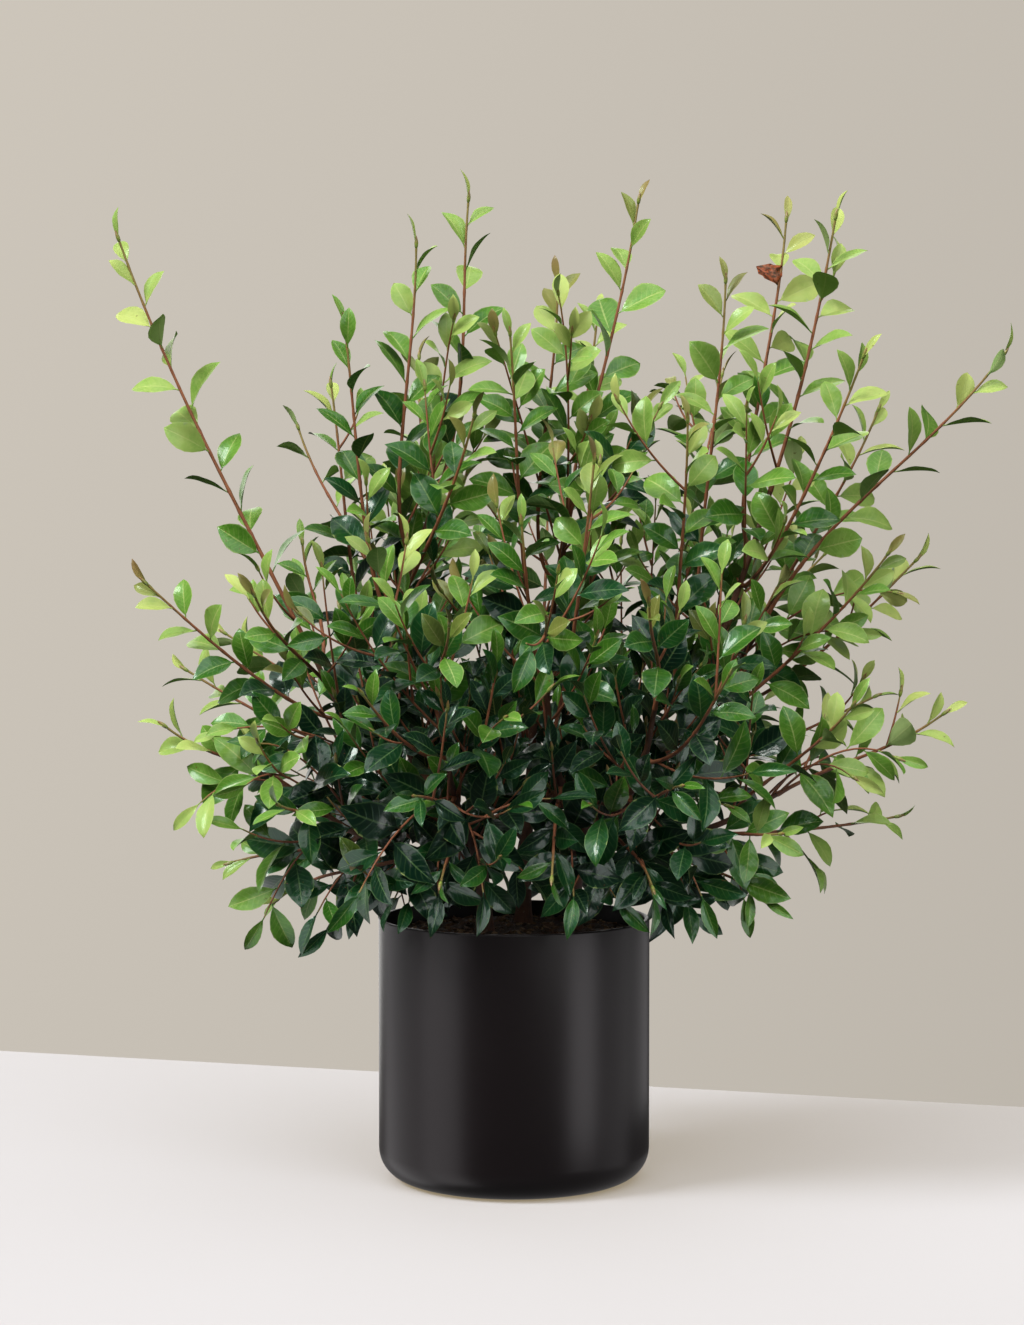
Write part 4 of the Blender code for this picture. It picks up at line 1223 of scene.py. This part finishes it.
def bud_finish():
    """Closed buds in overlapping scales, green at the foot and bronze above."""
    p = Paint("bud")
    grain = p.told("grain", "Vector")
    height = p.node("ShaderNodeSeparateXYZ", None, {0: grain}, 2)
    scales = p.fraction(height * 260.0 + p.noise(grain, 300.0) * 0.6)
    colour = p.mix(p.step(height, 0.002, 0.012), BUD_GREEN, BUD_BRONZE)
    colour = p.mix(p.step(scales, 0.75, 1.0) * 0.5, colour, BUD_TIP)
    return p.done(p.shader(Base_Color=colour, Roughness=0.34 + scales * 0.1, Normal=p.bump(scales, 0.0003)))


def coat_finish():
    """The planter's matt coat: nearly black, with a faint grain and a few scuffs."""
    p = Paint("matt charcoal coat")
    where = p.node("ShaderNodeTexCoord", output="Object")
    powder = p.noise(where, 2600.0, 2.0)
    cloud = p.noise(where, 9.0, 3.0)
    scuffs = p.step(p.noise(where, 55.0, 4.0, 0.7), 0.64, 0.80)
    colour = p.mix(cloud * 0.6 + powder * 0.3, COAT_DARK, COAT_LIGHT)
    normal = p.bump(powder, 0.00006, 0.5)
    rough = 0.31 + cloud * 0.05 + scuffs * 0.04
    return p.done(p.shader(Base_Color=colour, Roughness=rough, Normal=normal, Specular_IOR_Level=0.18))


def mix_finish():
    """Dark, damp crumbs with paler flecks."""
    p = Paint("potting mix")
    where = p.node("ShaderNodeTexCoord", output="Object")
    crumbs = p.noise(where, 330.0, 4.0, 0.7)
    damp = p.noise(where, 26.0, 3.0)
    fleck = p.step(p.noise(where, 800.0, 1.0), 0.66, 0.72)
    colour = p.mix(crumbs, SOIL_DARK, SOIL_BROWN)
    colour = p.mix(fleck * 0.5, colour, SOIL_FLECK)
    rough = 0.95 - damp * 0.25
    return p.done(p.shader(Base_Color=colour, Roughness=rough, Normal=p.bump(crumbs, 0.002)))


def chip_finish():
    """Bark chips, each in a tone of its own."""
    p = Paint("bark chips")
    grain = p.noise(p.node("ShaderNodeTexCoord", output="Object"), 700.0, 3.0)
    colour = p.mix(grain * 0.6, p.ramp(p.told("seed"), CHIP_TONES), SOIL_DARK)
    return p.done(p.shader(Base_Color=colour, Roughness=0.88, Normal=p.bump(grain, 0.0005)))


# Meshes


def linked(name, data):
    """A new object in the scene."""
    made = bpy.data.objects.new(name, data)
    bpy.context.scene.collection.objects.link(made)
    return made


def placed(name, mesh, finishes, smooth_to, slot, *nodes):
    """A mesh as a piece of the plant that is seen in the place of those nodes."""
    for finish in finishes:
        mesh.materials.append(finish)
    mesh.shade_smooth()
    mesh.set_sharp_from_angle(angle=math.radians(smooth_to))
    mesh.update()
    piece = linked(name, mesh)
    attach(piece, "root")
    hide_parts(*nodes)


def strip_faces(batch, base):
    """The faces of a batch's strips and then of their ends, and which finish each has."""
    count, rings, sides, _ = batch["points"].shape
    k, n, m = np.meshgrid(np.arange(count), np.arange(rings - 1), np.arange(sides), indexing="ij")
    over = (m + 1) % sides
    corners = [(n, m), (n, over), (n + 1, over), (n + 1, m)]
    quads = np.stack([base + (k * rings + ring) * sides + side for ring, side in corners], axis=-1)
    feet = base + np.arange(count)[:, None] * rings * sides + np.arange(sides)[::-1]
    tips = base + (np.arange(count)[:, None] * rings + rings - 1) * sides + np.arange(sides)
    faces = quads.reshape(-1, 4).tolist() + feet.tolist() + tips.tolist()
    return faces, [np.asarray(batch["finish"])[m].reshape(-1), np.full(2 * count, batch["finish"][0])]


def strip_uvs(batch, first, columns, rows):
    """Where the corners of those faces lie in the UV map, whose cells are filled from the first one on."""
    count, rings, sides, _ = batch["points"].shape
    half = sides // batch["cells"]
    k, n, m = np.meshgrid(np.arange(count), np.arange(rings - 1), np.arange(sides), indexing="ij")
    cell = first + k * batch["cells"] + m // half
    left, low = (cell % columns) / columns, (cell // columns) / rows
    corners = []
    for ring, side in ((n, m % half), (n, m % half + 1), (n + 1, m % half + 1), (n + 1, m % half)):
        u = left + (UV_SIDES[0] + UV_SIDES[1] * side / half) / columns
        v = low + (UV_ENDS[0] + UV_ENDS[1] * ring / (rings - 1)) / rows
        corners.append(np.stack([u, v], axis=-1))
    spots = [np.stack(corners, axis=3).reshape(-1, 2)]
    cell = first + np.arange(count) * batch["cells"]
    left, low = (cell % columns) / columns, (cell // columns) / rows
    turn = np.linspace(0, math.tau, sides, endpoint=False)
    ring = np.stack([np.cos(turn) / columns, np.sin(turn) / rows], axis=-1) * UV_END_RADIUS
    for up in (UV_ENDS[0] / 2, 1 - UV_ENDS[0] / 2):
        middle = np.stack([left + 0.5 / columns, low + up / rows], axis=-1)
        spots.append((middle[:, None, :] + ring).reshape(-1, 2))
    return spots


def piece_from(name, batches, finishes, nodes, slot):
    """One piece from batches of strips, each strip a row of rings closed at both ends.

    A batch holds points (strips, rings, sides, 3), a finish number for each side, and what the
    finishes are told at each point. Each strip has a cell of its own in the UV map, or two.
    """
    rows = max(1, math.ceil(math.sqrt(sum(len(b["points"]) * b["cells"] for b in batches) / 2)))
    faces, finish_of, uvs = [], [], []
    base, cell = 0, 0
    for batch in batches:
        more_faces, more_finishes = strip_faces(batch, base)
        faces += more_faces
        finish_of += more_finishes
        uvs += strip_uvs(batch, cell, 2 * rows, rows)
        base += batch["points"][..., 0].size
        cell += len(batch["points"]) * batch["cells"]
    mesh = bpy.data.meshes.new(name)
    mesh.from_pydata(np.concatenate([b["points"].reshape(-1, 3) for b in batches]).tolist(), [], faces)
    mesh.polygons.foreach_set("material_index", np.concatenate(finish_of).astype(np.int32))
    layer = mesh.uv_layers.new(name="OFBake")
    layer.data.foreach_set("uv", np.concatenate(uvs).reshape(-1).astype(np.float32))
    for key in ("along", "across", "age", "seed", "flush"):
        values = [np.broadcast_to(b[key], b["points"].shape[:3]).reshape(-1) for b in batches]
        told = mesh.attributes.new(key, "FLOAT", "POINT")
        told.data.foreach_set("value", np.concatenate(values).astype(np.float32))
    told = mesh.attributes.new("grain", "FLOAT_VECTOR", "POINT")
    grains = np.concatenate([b["grain"].reshape(-1) for b in batches])
    told.data.foreach_set("vector", grains.astype(np.float32))
    placed(name, mesh, finishes, LEAFY_CREASE, slot, *nodes)


def tube_batch(points, radii, sides, finish, ages, seed):
    """A round strip along a line of points."""
    verts, _ = tube(points, radii, sides)
    rings = np.array([tuple(v) for v in verts]).reshape(1, len(points), sides, 3)
    turn = np.linspace(0, math.tau, sides, endpoint=False)
    radius = np.asarray(radii)[:, None]
    far = np.array(lengths_along(points))[:, None] + 0 * turn
    grain = np.stack([radius * np.cos(turn) + seed, radius * np.sin(turn) - seed, far], axis=-1)
    age = np.asarray(ages, dtype=float).reshape(1, -1, 1)
    told = dict(along=0.0, across=0.0, age=age, seed=seed, flush=0.0, grain=grain)
    return dict(points=rings, cells=1, finish=[finish] * sides, **told)


def unit(ways):
    return ways / np.linalg.norm(ways, axis=-1, keepdims=True)


def blade_outline(b, blunt):
    """Half the width of blades where the share b of them is passed, from pointed ones to blunt ones."""
    pointed = np.sin(np.pi * b**POINTED[0]) ** (POINTED[1] + POINTED[2] * b**3)
    rounded = np.sin(np.pi * b ** ROUNDED[0]) ** ROUNDED[1]
    return pointed + (rounded - pointed) * blunt


def leaf_batch(leaves, stations):
    """Leaves as closed thin blades. Each leaf is (pose, age and painted shade, flush, blunt, seed)."""
    poses = [leaf[0] for leaf in leaves]
    root, way, face = (np.array([tuple(pose[i]) for pose in poses]) for i in range(3))
    length, width, arch, fold = (np.array([pose[i] for pose in poses])[:, None, None] for i in range(3, 7))
    age, flush, blunt, seed = (np.array([leaf[i] for leaf in leaves])[:, None, None] for i in range(1, 5))
    way = unit(way)
    face = unit(face - way * np.sum(face * way, axis=-1, keepdims=True))
    side = np.cross(way, face)
    withered = flush > WITHERED_FROM

    # s runs from the stalk's foot to the tip, b from the blade's foot to the tip, t from edge to edge
    s = np.linspace(0, 1, stations)[None, :, None] + 0.0 * age
    t, facing = np.array(ACROSS), np.array(FACING)
    b = np.clip((s - PETIOLE) / (1 - PETIOLE), 0, 1)
    outline = blade_outline(b, blunt)
    teeth = 1 - TEETH * (np.arange(stations) % 2)[None, :, None] * np.sin(np.pi * b)
    half = np.maximum(width / 2 * outline * teeth, PETIOLE_HALF * (1 - 0.8 * s**4))
    stalk = 1 - np.clip(b / STALK_ENDS, 0, 1)
    thick = PETIOLE_HALF * stalk + BLADE_THICK * (1 - stalk) * (1 - 0.5 * s)
    thick = thick * np.where(np.abs(t) > 0.9, 0.0, np.where(np.abs(t) > 0.4, 0.86, 1.0))
    keel = np.where((t == 0) & (facing < 0), KEEL * (1 - b), 0.0) * (1 - stalk)
    waves = np.sin(math.tau * (s * np.where(withered, WITHERED_WAVES, WAVES) + seed))
    wave = waves * WAVE * length * t**2 * outline
    wave = wave * np.where(withered, CRUMPLED * (1 + 0.5 * np.sign(t)), 1.0)
    curl = -arch * length * s**2 - TIP_CURL * length * s**6
    x = length * s * np.ones_like(t)
    y = half * t
    z = curl + fold * np.abs(y) * (1 - 0.3 * np.abs(t)) + facing * thick - keel + wave
    swing = (seed - 0.5) * SWING * length * s**2
    points = root[:, None, None] + x[..., None] * way[:, None, None]
    points = points + (y + swing)[..., None] * side[:, None, None] + z[..., None] * face[:, None, None]
    grain = np.stack([y + seed * 3, x + seed * 5, np.zeros_like(x) + seed * 7], axis=-1)
    told = dict(along=s * np.ones_like(t), across=t, age=age, seed=seed, flush=flush, grain=grain)
    return dict(points=points, cells=2, finish=[UPPER] * 4 + [UNDER] * 4, **told)


def leaf_batches(leaves):
    sizes = sorted({leaf[1] for leaf in leaves})
    return [leaf_batch([leaf[0] for leaf in leaves if leaf[1] == size], size) for size in sizes]


def bud_batch(path, seed):
    """A pointed bud at the end of a shoot."""
    way = (path[-1] - path[-2]).normalized()
    points = [path[-1] + way * BUD_LONG * share for share, _ in BUD_FORM]
    radii = [BUD_WIDE * part for _, part in BUD_FORM]
    return tube_batch(points, radii, BUD_ROUND, BUD, [0.0] * len(points), seed)


# Leaves and their stems


def leaf_age_and_shade(pose, number):
    """Leaf tone, 0 palest to 1 darkest: by age, by painted shade inside and low, by painted light aside and
    on top.
    """
    x, y, z = pose[0]
    across, back, up = ((place - middle) / half for place, middle, half in zip(pose[0], CROWN, CROWN_HALF))
    deep = clamped((1.0 - math.sqrt(across**2 + back**2 + up**2)) / DEEPEST)
    low = clamped((LOW_FROM - z) / LOW_OVER)
    aside = clamped((abs(x) - ASIDE_FROM) / ASIDE_OVER) * ASIDE_LIGHT
    old = clamped((number - 1) / OLDEST)
    high = clamped((z - HIGH_FROM) / HIGH_OVER)
    # Older leaves are darker, less so at the sides and the top, where painted light falls
    older = OLD_DARKER * old * (1 - OLD_ASIDE * aside) * (1 - OLD_HIGH * high)
    # Painted shade deep in the crown and low down, less of it at the sides, added to the age
    return DEEP_SHADE * deep + LOW_SHADE * low * (1 - aside) + older


def dressed_leaf(pose, number, shade, flushed, draw, rusted=False):
    """A leaf as it looks, and how many rings it has. Leaves are numbered from their shoot's end down."""
    root, way, face, length, width, arch, fold = pose
    # Its tone: age, painted shade and light by its place, its shoot's shade and a random spread
    age = clamped(leaf_age_and_shade(pose, number) + shade + draw.gauss(0, LEAF_SHADES))
    face = Quaternion(way, draw.gauss(0, ROLL)) @ face
    fold *= MORE_FOLD
    arch *= MORE_ARCH
    width *= SLIMMER
    flush = 0.0
    if number < len(YOUNG_SLIM):
        width *= YOUNG_SLIM[number]
        fold += YOUNG_FOLD
        if flushed:
            flush = draw.uniform(*FLUSH) - FLUSH_LESS * number
    if rusted:
        flush, arch, fold = WITHERED, WITHERED_ARCH, WITHERED_FOLD
        length *= WITHERED_LENGTH
    blunt = clamped(BLUNT[0] - age * BLUNT[1] + draw.uniform(-BLUNT[2], BLUNT[2]))
    stations = FEW_STATIONS if length < SHORT_LEAF else MANY_STATIONS
    return ((root, way, face, length, width, arch, fold), age, flush, blunt, draw.random()), stations


def leafed(paths, name, room):
    """Side twigs with the poses of their leaves."""
    grown = []
    for i, path in enumerate(paths):
        habit = "low_twig" if path[-1].z < LOW_TWIGS_TO else "twig"
        if path[-1].z < path[0].z:
            habit = "hung_twig"
        grown.append((path, grow_other_leaves(path, habit, f"{name} twig {i}", room)))
    return grown


def dressed_twigs(grown, draw):
    """Batches of the bark, the buds and the leaves of side twigs."""
    batches, leaves = [], []
    for path, poses in grown:
        hangs = path[-1].z < path[0].z
        # Hanging twigs are darkened by painted shade; the others stray in tone at random
        shade = HUNG_SHADE if hangs else draw.gauss(0, TWIG_SHADES)
        flushed = draw.random() < FLUSHED_TWIGS[path[-1].z > FLUSHED_FROM] and not hangs
        ages = [TWIG_AGES[hangs] * (1 - i / (len(path) - 1)) ** 0.5 for i in range(len(path))]
        radii = taper(TWIG_FOOT, TWIG_TIP, len(path))
        batches.append(tube_batch(path, radii, TWIG_ROUND, BARK, ages, draw.random()))
        if draw.random() < BUD_SHARE and not hangs:
            batches.append(bud_batch(path, draw.random()))
        for number, pose in sorted(poses.items()):
            leaves.append(dressed_leaf(pose, number + 1, shade, flushed, draw))
    return batches + leaf_batches(leaves)


def stem_bark(line, habit, name):
    """The points and the radii of a leafy stem, with a knob at each leaf and a collar at its foot."""
    far = lengths_along(line)
    rings = max(8, int(far[-1] / STEM_RING_EVERY))
    places = [far[-1] * i / (rings - 1) for i in range(rings)]
    points = [at_length(line, far, place)[0] for place in places]
    points[0] = points[0] - (points[1] - points[0]).normalized() * FOOT_SUNK
    spots = [spot[1] for spot in leaf_spots(far, habit, name)]
    radii = taper(STEM_FOOT, STEM_TIP, rings)
    for i, place in enumerate(places):
        knob = max(bell(place - spot, KNOB_REACH) for spot in spots)
        radii[i] *= STEM_SLIM + KNOB * knob + STEM_COLLAR * bell(place, STEM_COLLAR_REACH)
    return points, radii


def dressed_stem(name, habit, line, poses, twigs, finishes):
    """A leafy stem as one piece: its wood, its side twigs and all their leaves."""
    draw = random.Random(name + " looks")
    points, radii = stem_bark(line, habit, name)
    flushed = draw.random() < FLUSHED_STEMS[line[-1].z > FLUSHED_FROM]
    shade = draw.gauss(0, STEM_SHADES) + (OPEN_DARKER if habit == "open" else 0.0)
    rusted = RUSTED.get(name, ())
    leaves = [dressed_leaf(poses[i], i, shade, flushed, draw, i in rusted) for i in sorted(poses)]
    twig_parts = dressed_twigs(twigs, draw)
    ages = taper(1.0, 0.0, len(points))
    bark = tube_batch(points, radii, STEM_ROUND, BARK, ages, draw.random())
    parts = [bark, *leaf_batches(leaves), *twig_parts, bud_batch(points, draw.random())]
    piece_from(name + "_seen", parts, finishes, [name], "leaf")


# Trunks, planter and potting mix


def lumpy(batch, seed, much):
    """Makes a round strip slightly uneven, as wood is."""
    points = batch["points"]
    middle = points.mean(axis=2, keepdims=True)
    _, rings, sides, _ = points.shape
    for n in range(rings):
        for m in range(sides):
            here = points[0, n, m]
            swell = noise.noise(Vector((here[0] * 60 + seed, here[1] * 60, here[2] * 45)))
            swell += 0.6 * noise.noise(Vector((here[0] * 210, here[1] * 210 + seed, here[2] * 60)))
            points[0, n, m] = middle[0, n, 0] + (here - middle[0, n, 0]) * (1 + much * swell)
    return batch


def trunk_batch(name):
    """A trunk's bark, which flares where it leaves the mix."""
    rings, sides = TRUNK_SHAPE
    line = smooth_line(trunk_line(name), rings)
    far = lengths_along(line)
    radii = []
    for place in far:
        share = max(0.0, place / far[-1] - TRUNK_THINS) / (1 - TRUNK_THINS)
        flare = TRUNK_FLARE * bell(place - HOLE_DEPTH, TRUNK_FLARE_REACH)
        radii.append((TRUNK_FOOT + (TRUNK_FORK - TRUNK_FOOT) * share) * (TRUNK_SLIM + flare))
    return lumpy(tube_batch(line, radii, sides, 0, [1.0] * rings, 0.3), 1.0, TRUNK_LUMPS)


def limb_batch(limb, number):
    """A limb's bark, with a collar where it leaves the trunk."""
    rings, sides = LIMB_SHAPE
    line = smooth_line([Vector(p) for p in LIMBS[limb][1]], rings)
    far = lengths_along(line)
    radii = []
    for place in far:
        collar = 1 + LIMB_COLLAR * bell(place, LIMB_COLLAR_REACH)
        radii.append((LIMB_FOOT + (LIMB_END - LIMB_FOOT) * place / far[-1]) * collar * LIMB_SLIM)
    seed = number / len(LIMBS)
    return lumpy(tube_batch(line, radii, sides, 0, [0.9] * rings, seed), number, LIMB_LUMPS)


def wood_piece(name, finish):
    """A trunk and its limbs."""
    batches = [trunk_batch(name)]
    for number, (limb, (trunk_name, _)) in enumerate(LIMBS.items()):
        if trunk_name == name:
            batches.append(limb_batch(limb, number))
    piece_from(name + "_seen", batches, [finish], [name], "bark")


def planter_piece(finish):
    """The planter with a fine round outline and a rounded lip."""
    outer = edge_arc(POT_RADIUS, POT_EDGE, 0.0, OUTER_STEPS)
    inner = edge_arc(POT_RADIUS - POT_WALL, POT_EDGE - POT_WALL, POT_WALL, INNER_STEPS)
    bead = POT_WALL / 2
    rise = bead * LIP_FLAT
    lip = []
    for i in range(LIP_STEPS + 1):
        turn = math.pi * i / LIP_STEPS
        lip.append((POT_RADIUS - bead + bead * math.cos(turn), POT_HEIGHT - rise + rise * math.sin(turn)))
    points, faces = turned([(0.0, 0.0), *outer, *lip, *reversed(inner), (0.0, POT_WALL)], POT_SIDES)
    mesh = bpy.data.meshes.new("planter_seen")
    mesh.from_pydata([tuple(p) for p in points], [], faces)
    placed("planter_seen", mesh, [finish], POT_CREASE, "planter_coat", "planter")


def crumbly_height(x, y):
    """The top of the potting mix with its crumbs, which end at its edge."""
    p = Vector((x, y, SOIL_TOP))
    crumbs = sum(noise.noise(p * fine) * high for fine, high in CRUMBS)
    off_edge = POT_RADIUS - POT_WALL - GAP - math.hypot(x, y)
    return soil_height(x, y) + crumbs * clamped(off_edge / CRUMBS_FADE)


def mix_body():
    """Points and faces of the potting mix."""
    radius = POT_RADIUS - POT_WALL - GAP
    edge = edge_arc(radius, POT_EDGE - POT_WALL - GAP, POT_WALL + GAP, SOIL_STEPS)
    rings = [(radius * (1 - i / SOIL_RINGS), SOIL_TOP) for i in range(SOIL_RINGS + 1)]
    points, faces = turned([(0.0, POT_WALL + GAP), *edge, *rings], SOIL_SIDES)
    for p in points:
        if abs(p.z - SOIL_TOP) < GAP:
            p.z = crumbly_height(p.x, p.y)
    return [tuple(p) for p in points], faces


def chip_corners(draw):
    """The corners of one bark chip that lies in the mix, or none where a trunk stands."""
    turn = draw.uniform(0, math.tau)
    far = (POT_RADIUS - POT_WALL - GAP) * math.sqrt(draw.random()) * CHIPS_REACH
    x, y = far * math.cos(turn), far * math.sin(turn)
    if any(math.hypot(x - feet[0][0], y - feet[0][1]) < CHIPS_OFF_TRUNKS for feet in TRUNKS.values()):
        return []
    size = Vector([draw.uniform(*reach) for reach in CHIP_SIZES])
    spin = Quaternion((0, 0, 1), draw.uniform(0, math.tau))
    spin = spin @ Quaternion((1, 0, 0), draw.gauss(0, CHIP_TILT))
    spin = spin @ Quaternion((0, 1, 0), draw.gauss(0, CHIP_ROLL))
    middle = Vector((x, y, crumbly_height(x, y) + size.z * CHIP_RISE))
    corners = []
    for up in (-1, 1):
        for side, end in ((-1, -1), (1, -1), (1, 1), (-1, 1)):
            rough = [draw.uniform(*reach) for reach in CHIP_CORNERS]
            corner = Vector((side * size.x * rough[0], end * size.y * rough[1], up * size.z * rough[2]))
            corners.append(tuple(middle + spin @ corner))
    return corners


def soil_piece(finish, chip_paint):
    """The potting mix, and bark chips that lie in it."""
    points, faces = mix_body()
    finish_of, tones = [0] * len(faces), [0.0] * len(points)
    draw = random.Random("chips")
    for _ in range(CHIPS):
        corners = chip_corners(draw)
        if not corners:
            continue
        low = [len(points) + i for i in range(4)]
        high = [len(points) + i for i in range(4, 8)]
        points += corners
        faces += [low[::-1], high]
        faces += [[low[i], low[i - 3], high[i - 3], high[i]] for i in range(4)]
        finish_of += [1] * 6
        tones += [draw.random()] * 8
    mesh = bpy.data.meshes.new("potting_mix_seen")
    mesh.from_pydata(points, [], faces)
    mesh.polygons.foreach_set("material_index", finish_of)
    mesh.attributes.new("seed", "FLOAT", "POINT").data.foreach_set("value", tones)
    placed("potting_mix_seen", mesh, [finish, chip_paint], MIX_CREASE, "potting_mix", "potting_mix")


# The view


def camera_set():
    """The camera at the photograph's viewing angle."""
    data = bpy.data.cameras.new("camera")
    data.lens = LENS
    data.sensor_width = 36.0
    camera = linked("camera", data)
    camera.location = CAMERA_AT
    camera.rotation_euler = (math.radians(90) - CAMERA_DOWN, 0.0, 0.0)
    bpy.context.scene.camera = camera
    bpy.context.scene.view_settings.view_transform = "Standard"


def floor_laid():
    """The pale floor up to its far edge."""
    p = Paint("pale floor")
    sheet = p.shader(
        Base_Color=(*FLOOR_COLOUR, 1.0),
        Roughness=0.8,
        Specular_IOR_Level=0.0,
        Emission_Color=(*FLOOR_GLOW, 1.0),
        Emission_Strength=1.0,
    )
    left, right = Vector(FLOOR_EDGE[0]), Vector(FLOOR_EDGE[1])
    run = (right - left).normalized() * FLOOR_REACH
    near = Vector((run.y, -run.x, 0.0))
    corners = [tuple(left - run + near), tuple(right + run + near), tuple(right + run), tuple(left - run)]
    mesh = bpy.data.meshes.new("floor")
    mesh.from_pydata(corners, [], [(0, 1, 2, 3)])
    mesh.materials.append(p.done(sheet))
    floor = linked("floor", mesh)
    floor.visible_diffuse = False
    floor.visible_glossy = False


def room_lit():
    """The wall as the camera sees it, a dim room for everything else, and the lamps."""
    world = bpy.data.worlds.new("room")
    bpy.context.scene.world = world
    world.use_nodes = True
    p = Paint("room", world)
    way = p.node("ShaderNodeTexCoord", output="Generated")
    fade = p.node("ShaderNodeVectorMath", {"operation": "DOT_PRODUCT"}, {0: way, 1: WALL_FADES}, "Value")
    wall = p.node("ShaderNodeBackground", None, {"Color": (*WALL_COLOUR, 1.0), "Strength": fade + 1.0})
    dim = p.node("ShaderNodeBackground", None, {"Color": (*ROOM_COLOUR, 1.0), "Strength": ROOM_LIGHT})
    to_camera = p.node("ShaderNodeLightPath", output="Is Camera Ray")
    p.done(p.node("ShaderNodeMixShader", None, {0: to_camera, 1: dim, 2: wall}), "ShaderNodeOutputWorld")
    for name, source, wide, power, colour in SUNS:
        lamp = lamp_hung(name, "SUN", power, colour, source)
        lamp.data.angle = math.radians(wide)
    for name, turn, half_wide, bright, low in SOFT_BOXES:
        at = Quaternion((0, 0, 1), math.radians(turn)) @ Vector((0, -SOFT_BOX_FAR, 0))
        wide, high = 2 * SOFT_BOX_FAR * math.tan(math.radians(half_wide)), SOFT_BOX_TO - low
        lamp = soft_box(name, "RECTANGLE", bright * math.pi * wide * high, at)
        lamp.data.size, lamp.data.size_y = wide, high
        lamp.location = at + Vector((0, 0, (low + SOFT_BOX_TO) / 2))
    lamp = soft_box("foot_glow", "DISK", FOOT_GLOW * (math.pi * FOOT_GLOW_REACH) ** 2, (0, 0, -1))
    lamp.data.size = 2 * FOOT_GLOW_REACH
    lamp.location = (0, 0, FOOT_GLOW_UP)


def lamp_hung(name, kind, power, colour, source):
    """A lamp that shines from its source's side."""
    data = bpy.data.lights.new(name, kind)
    data.energy = power
    data.color = colour
    lamp = linked(name, data)
    lamp.rotation_euler = Vector(source).to_track_quat("Z", "Y").to_euler()
    return lamp


def soft_box(name, shape, power, source):
    """A flat lamp that only reflections show."""
    lamp = lamp_hung(name, "AREA", power, SOFT_BOX_COLOUR, source)
    lamp.data.shape = shape
    lamp.visible_camera = False
    lamp.visible_diffuse = False
    lamp.visible_transmission = False
    return lamp


# All of it, in the order in which it grows


def wood_standing():
    """The room with the planter, the mix, the trunks and the limbs of the solids in it."""
    room = Room()
    for node in ("planter", "potting_mix"):
        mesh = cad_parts[node].data
        room.add([v.co.copy() for v in mesh.vertices], [list(f.vertices) for f in mesh.polygons])
    for name in TRUNKS:
        radii = [TRUNK_FOOT, TRUNK_FOOT, (TRUNK_FOOT + TRUNK_FORK) / 2, TRUNK_FORK]
        room.add_tube(trunk_line(name), radii, TRUNK_SIDES, name)
        for limb, (trunk_name, _) in LIMBS.items():
            if trunk_name == name:
                path = limb_line(limb)
                room.add_tube(path, taper(LIMB_FOOT, LIMB_END, len(path)), LIMB_SIDES, name)
    return room


def stems_grown(room, taken):
    """Each leafy stem as (name, habit, line, leaf poses). The leaves that the solids have grow first."""
    stems = []
    for i, spec in enumerate(LEAFY_STEMS, start=1):
        name = f"leafy_stem_{i:02d}"
        stems.append((name, spec[4], run_stem(spec, name, room)))
    stems = [(*stem, grow_modelled_leaves(stem[2], stem[1], stem[0], room)) for stem in stems]
    for name, habit, line, poses in stems:
        poses.update(grow_other_leaves(line, habit, name, room, set(poses)))
        for pose in poses.values():
            taken.add(pose[0] + pose[1] * pose[3] * MIDDLE)
    return stems


def twigs_grown(stems, room, taken):
    """The paths of the side twigs of each limb and of each leafy stem, by its name."""
    inner = {limb: arched_shoots(limb, room, taken) for limb in LIMBS}
    for limb in LIMBS:
        inner[limb] += shoots_from(limb_line(limb), LIMB_END, FROM_LIMBS, limb, room, taken)
    twigs = {name: shoots_from(line, STEM_TIP, FROM_STEMS, name, room, taken) for name, _, line, _ in stems}
    for owner, paths in [*inner.items(), *twigs.items()]:
        for i, path in enumerate(list(paths)):
            paths += shoots_from(path, TWIG_RADIUS, FROM_SHOOTS, f"{owner} {i}", room, taken)
    for name, habit, line, _ in stems:
        if habit == "bushy":
            twigs[name] += shoots_from(line, STEM_TIP, FROM_ENDS, name + " end", room, taken, True)
    return inner, twigs


def main():
    finishes = [leaf_finish("leaf upper side", True), leaf_finish("leaf underside", False)]
    finishes += [bark_finish("young bark", True), bud_finish()]
    old_bark = bark_finish("old bark", False)
    room, taken = wood_standing(), Taken()
    stems = stems_grown(room, taken)
    inner, twigs = twigs_grown(stems, room, taken)
    for limb in LIMBS:
        grown = leafed(inner[limb], limb, room)
        if grown:
            batches = dressed_twigs(grown, random.Random(limb + " looks"))
            piece_from("inner_shoots_" + limb, batches, finishes, [], "leaf")
    for name, habit, line, poses in stems:
        dressed_stem(name, habit, line, poses, leafed(twigs[name], name, room), finishes)
    for name in TRUNKS:
        wood_piece(name, old_bark)
    planter_piece(coat_finish())
    soil_piece(mix_finish(), chip_finish())
    camera_set()
    floor_laid()
    room_lit()


main()
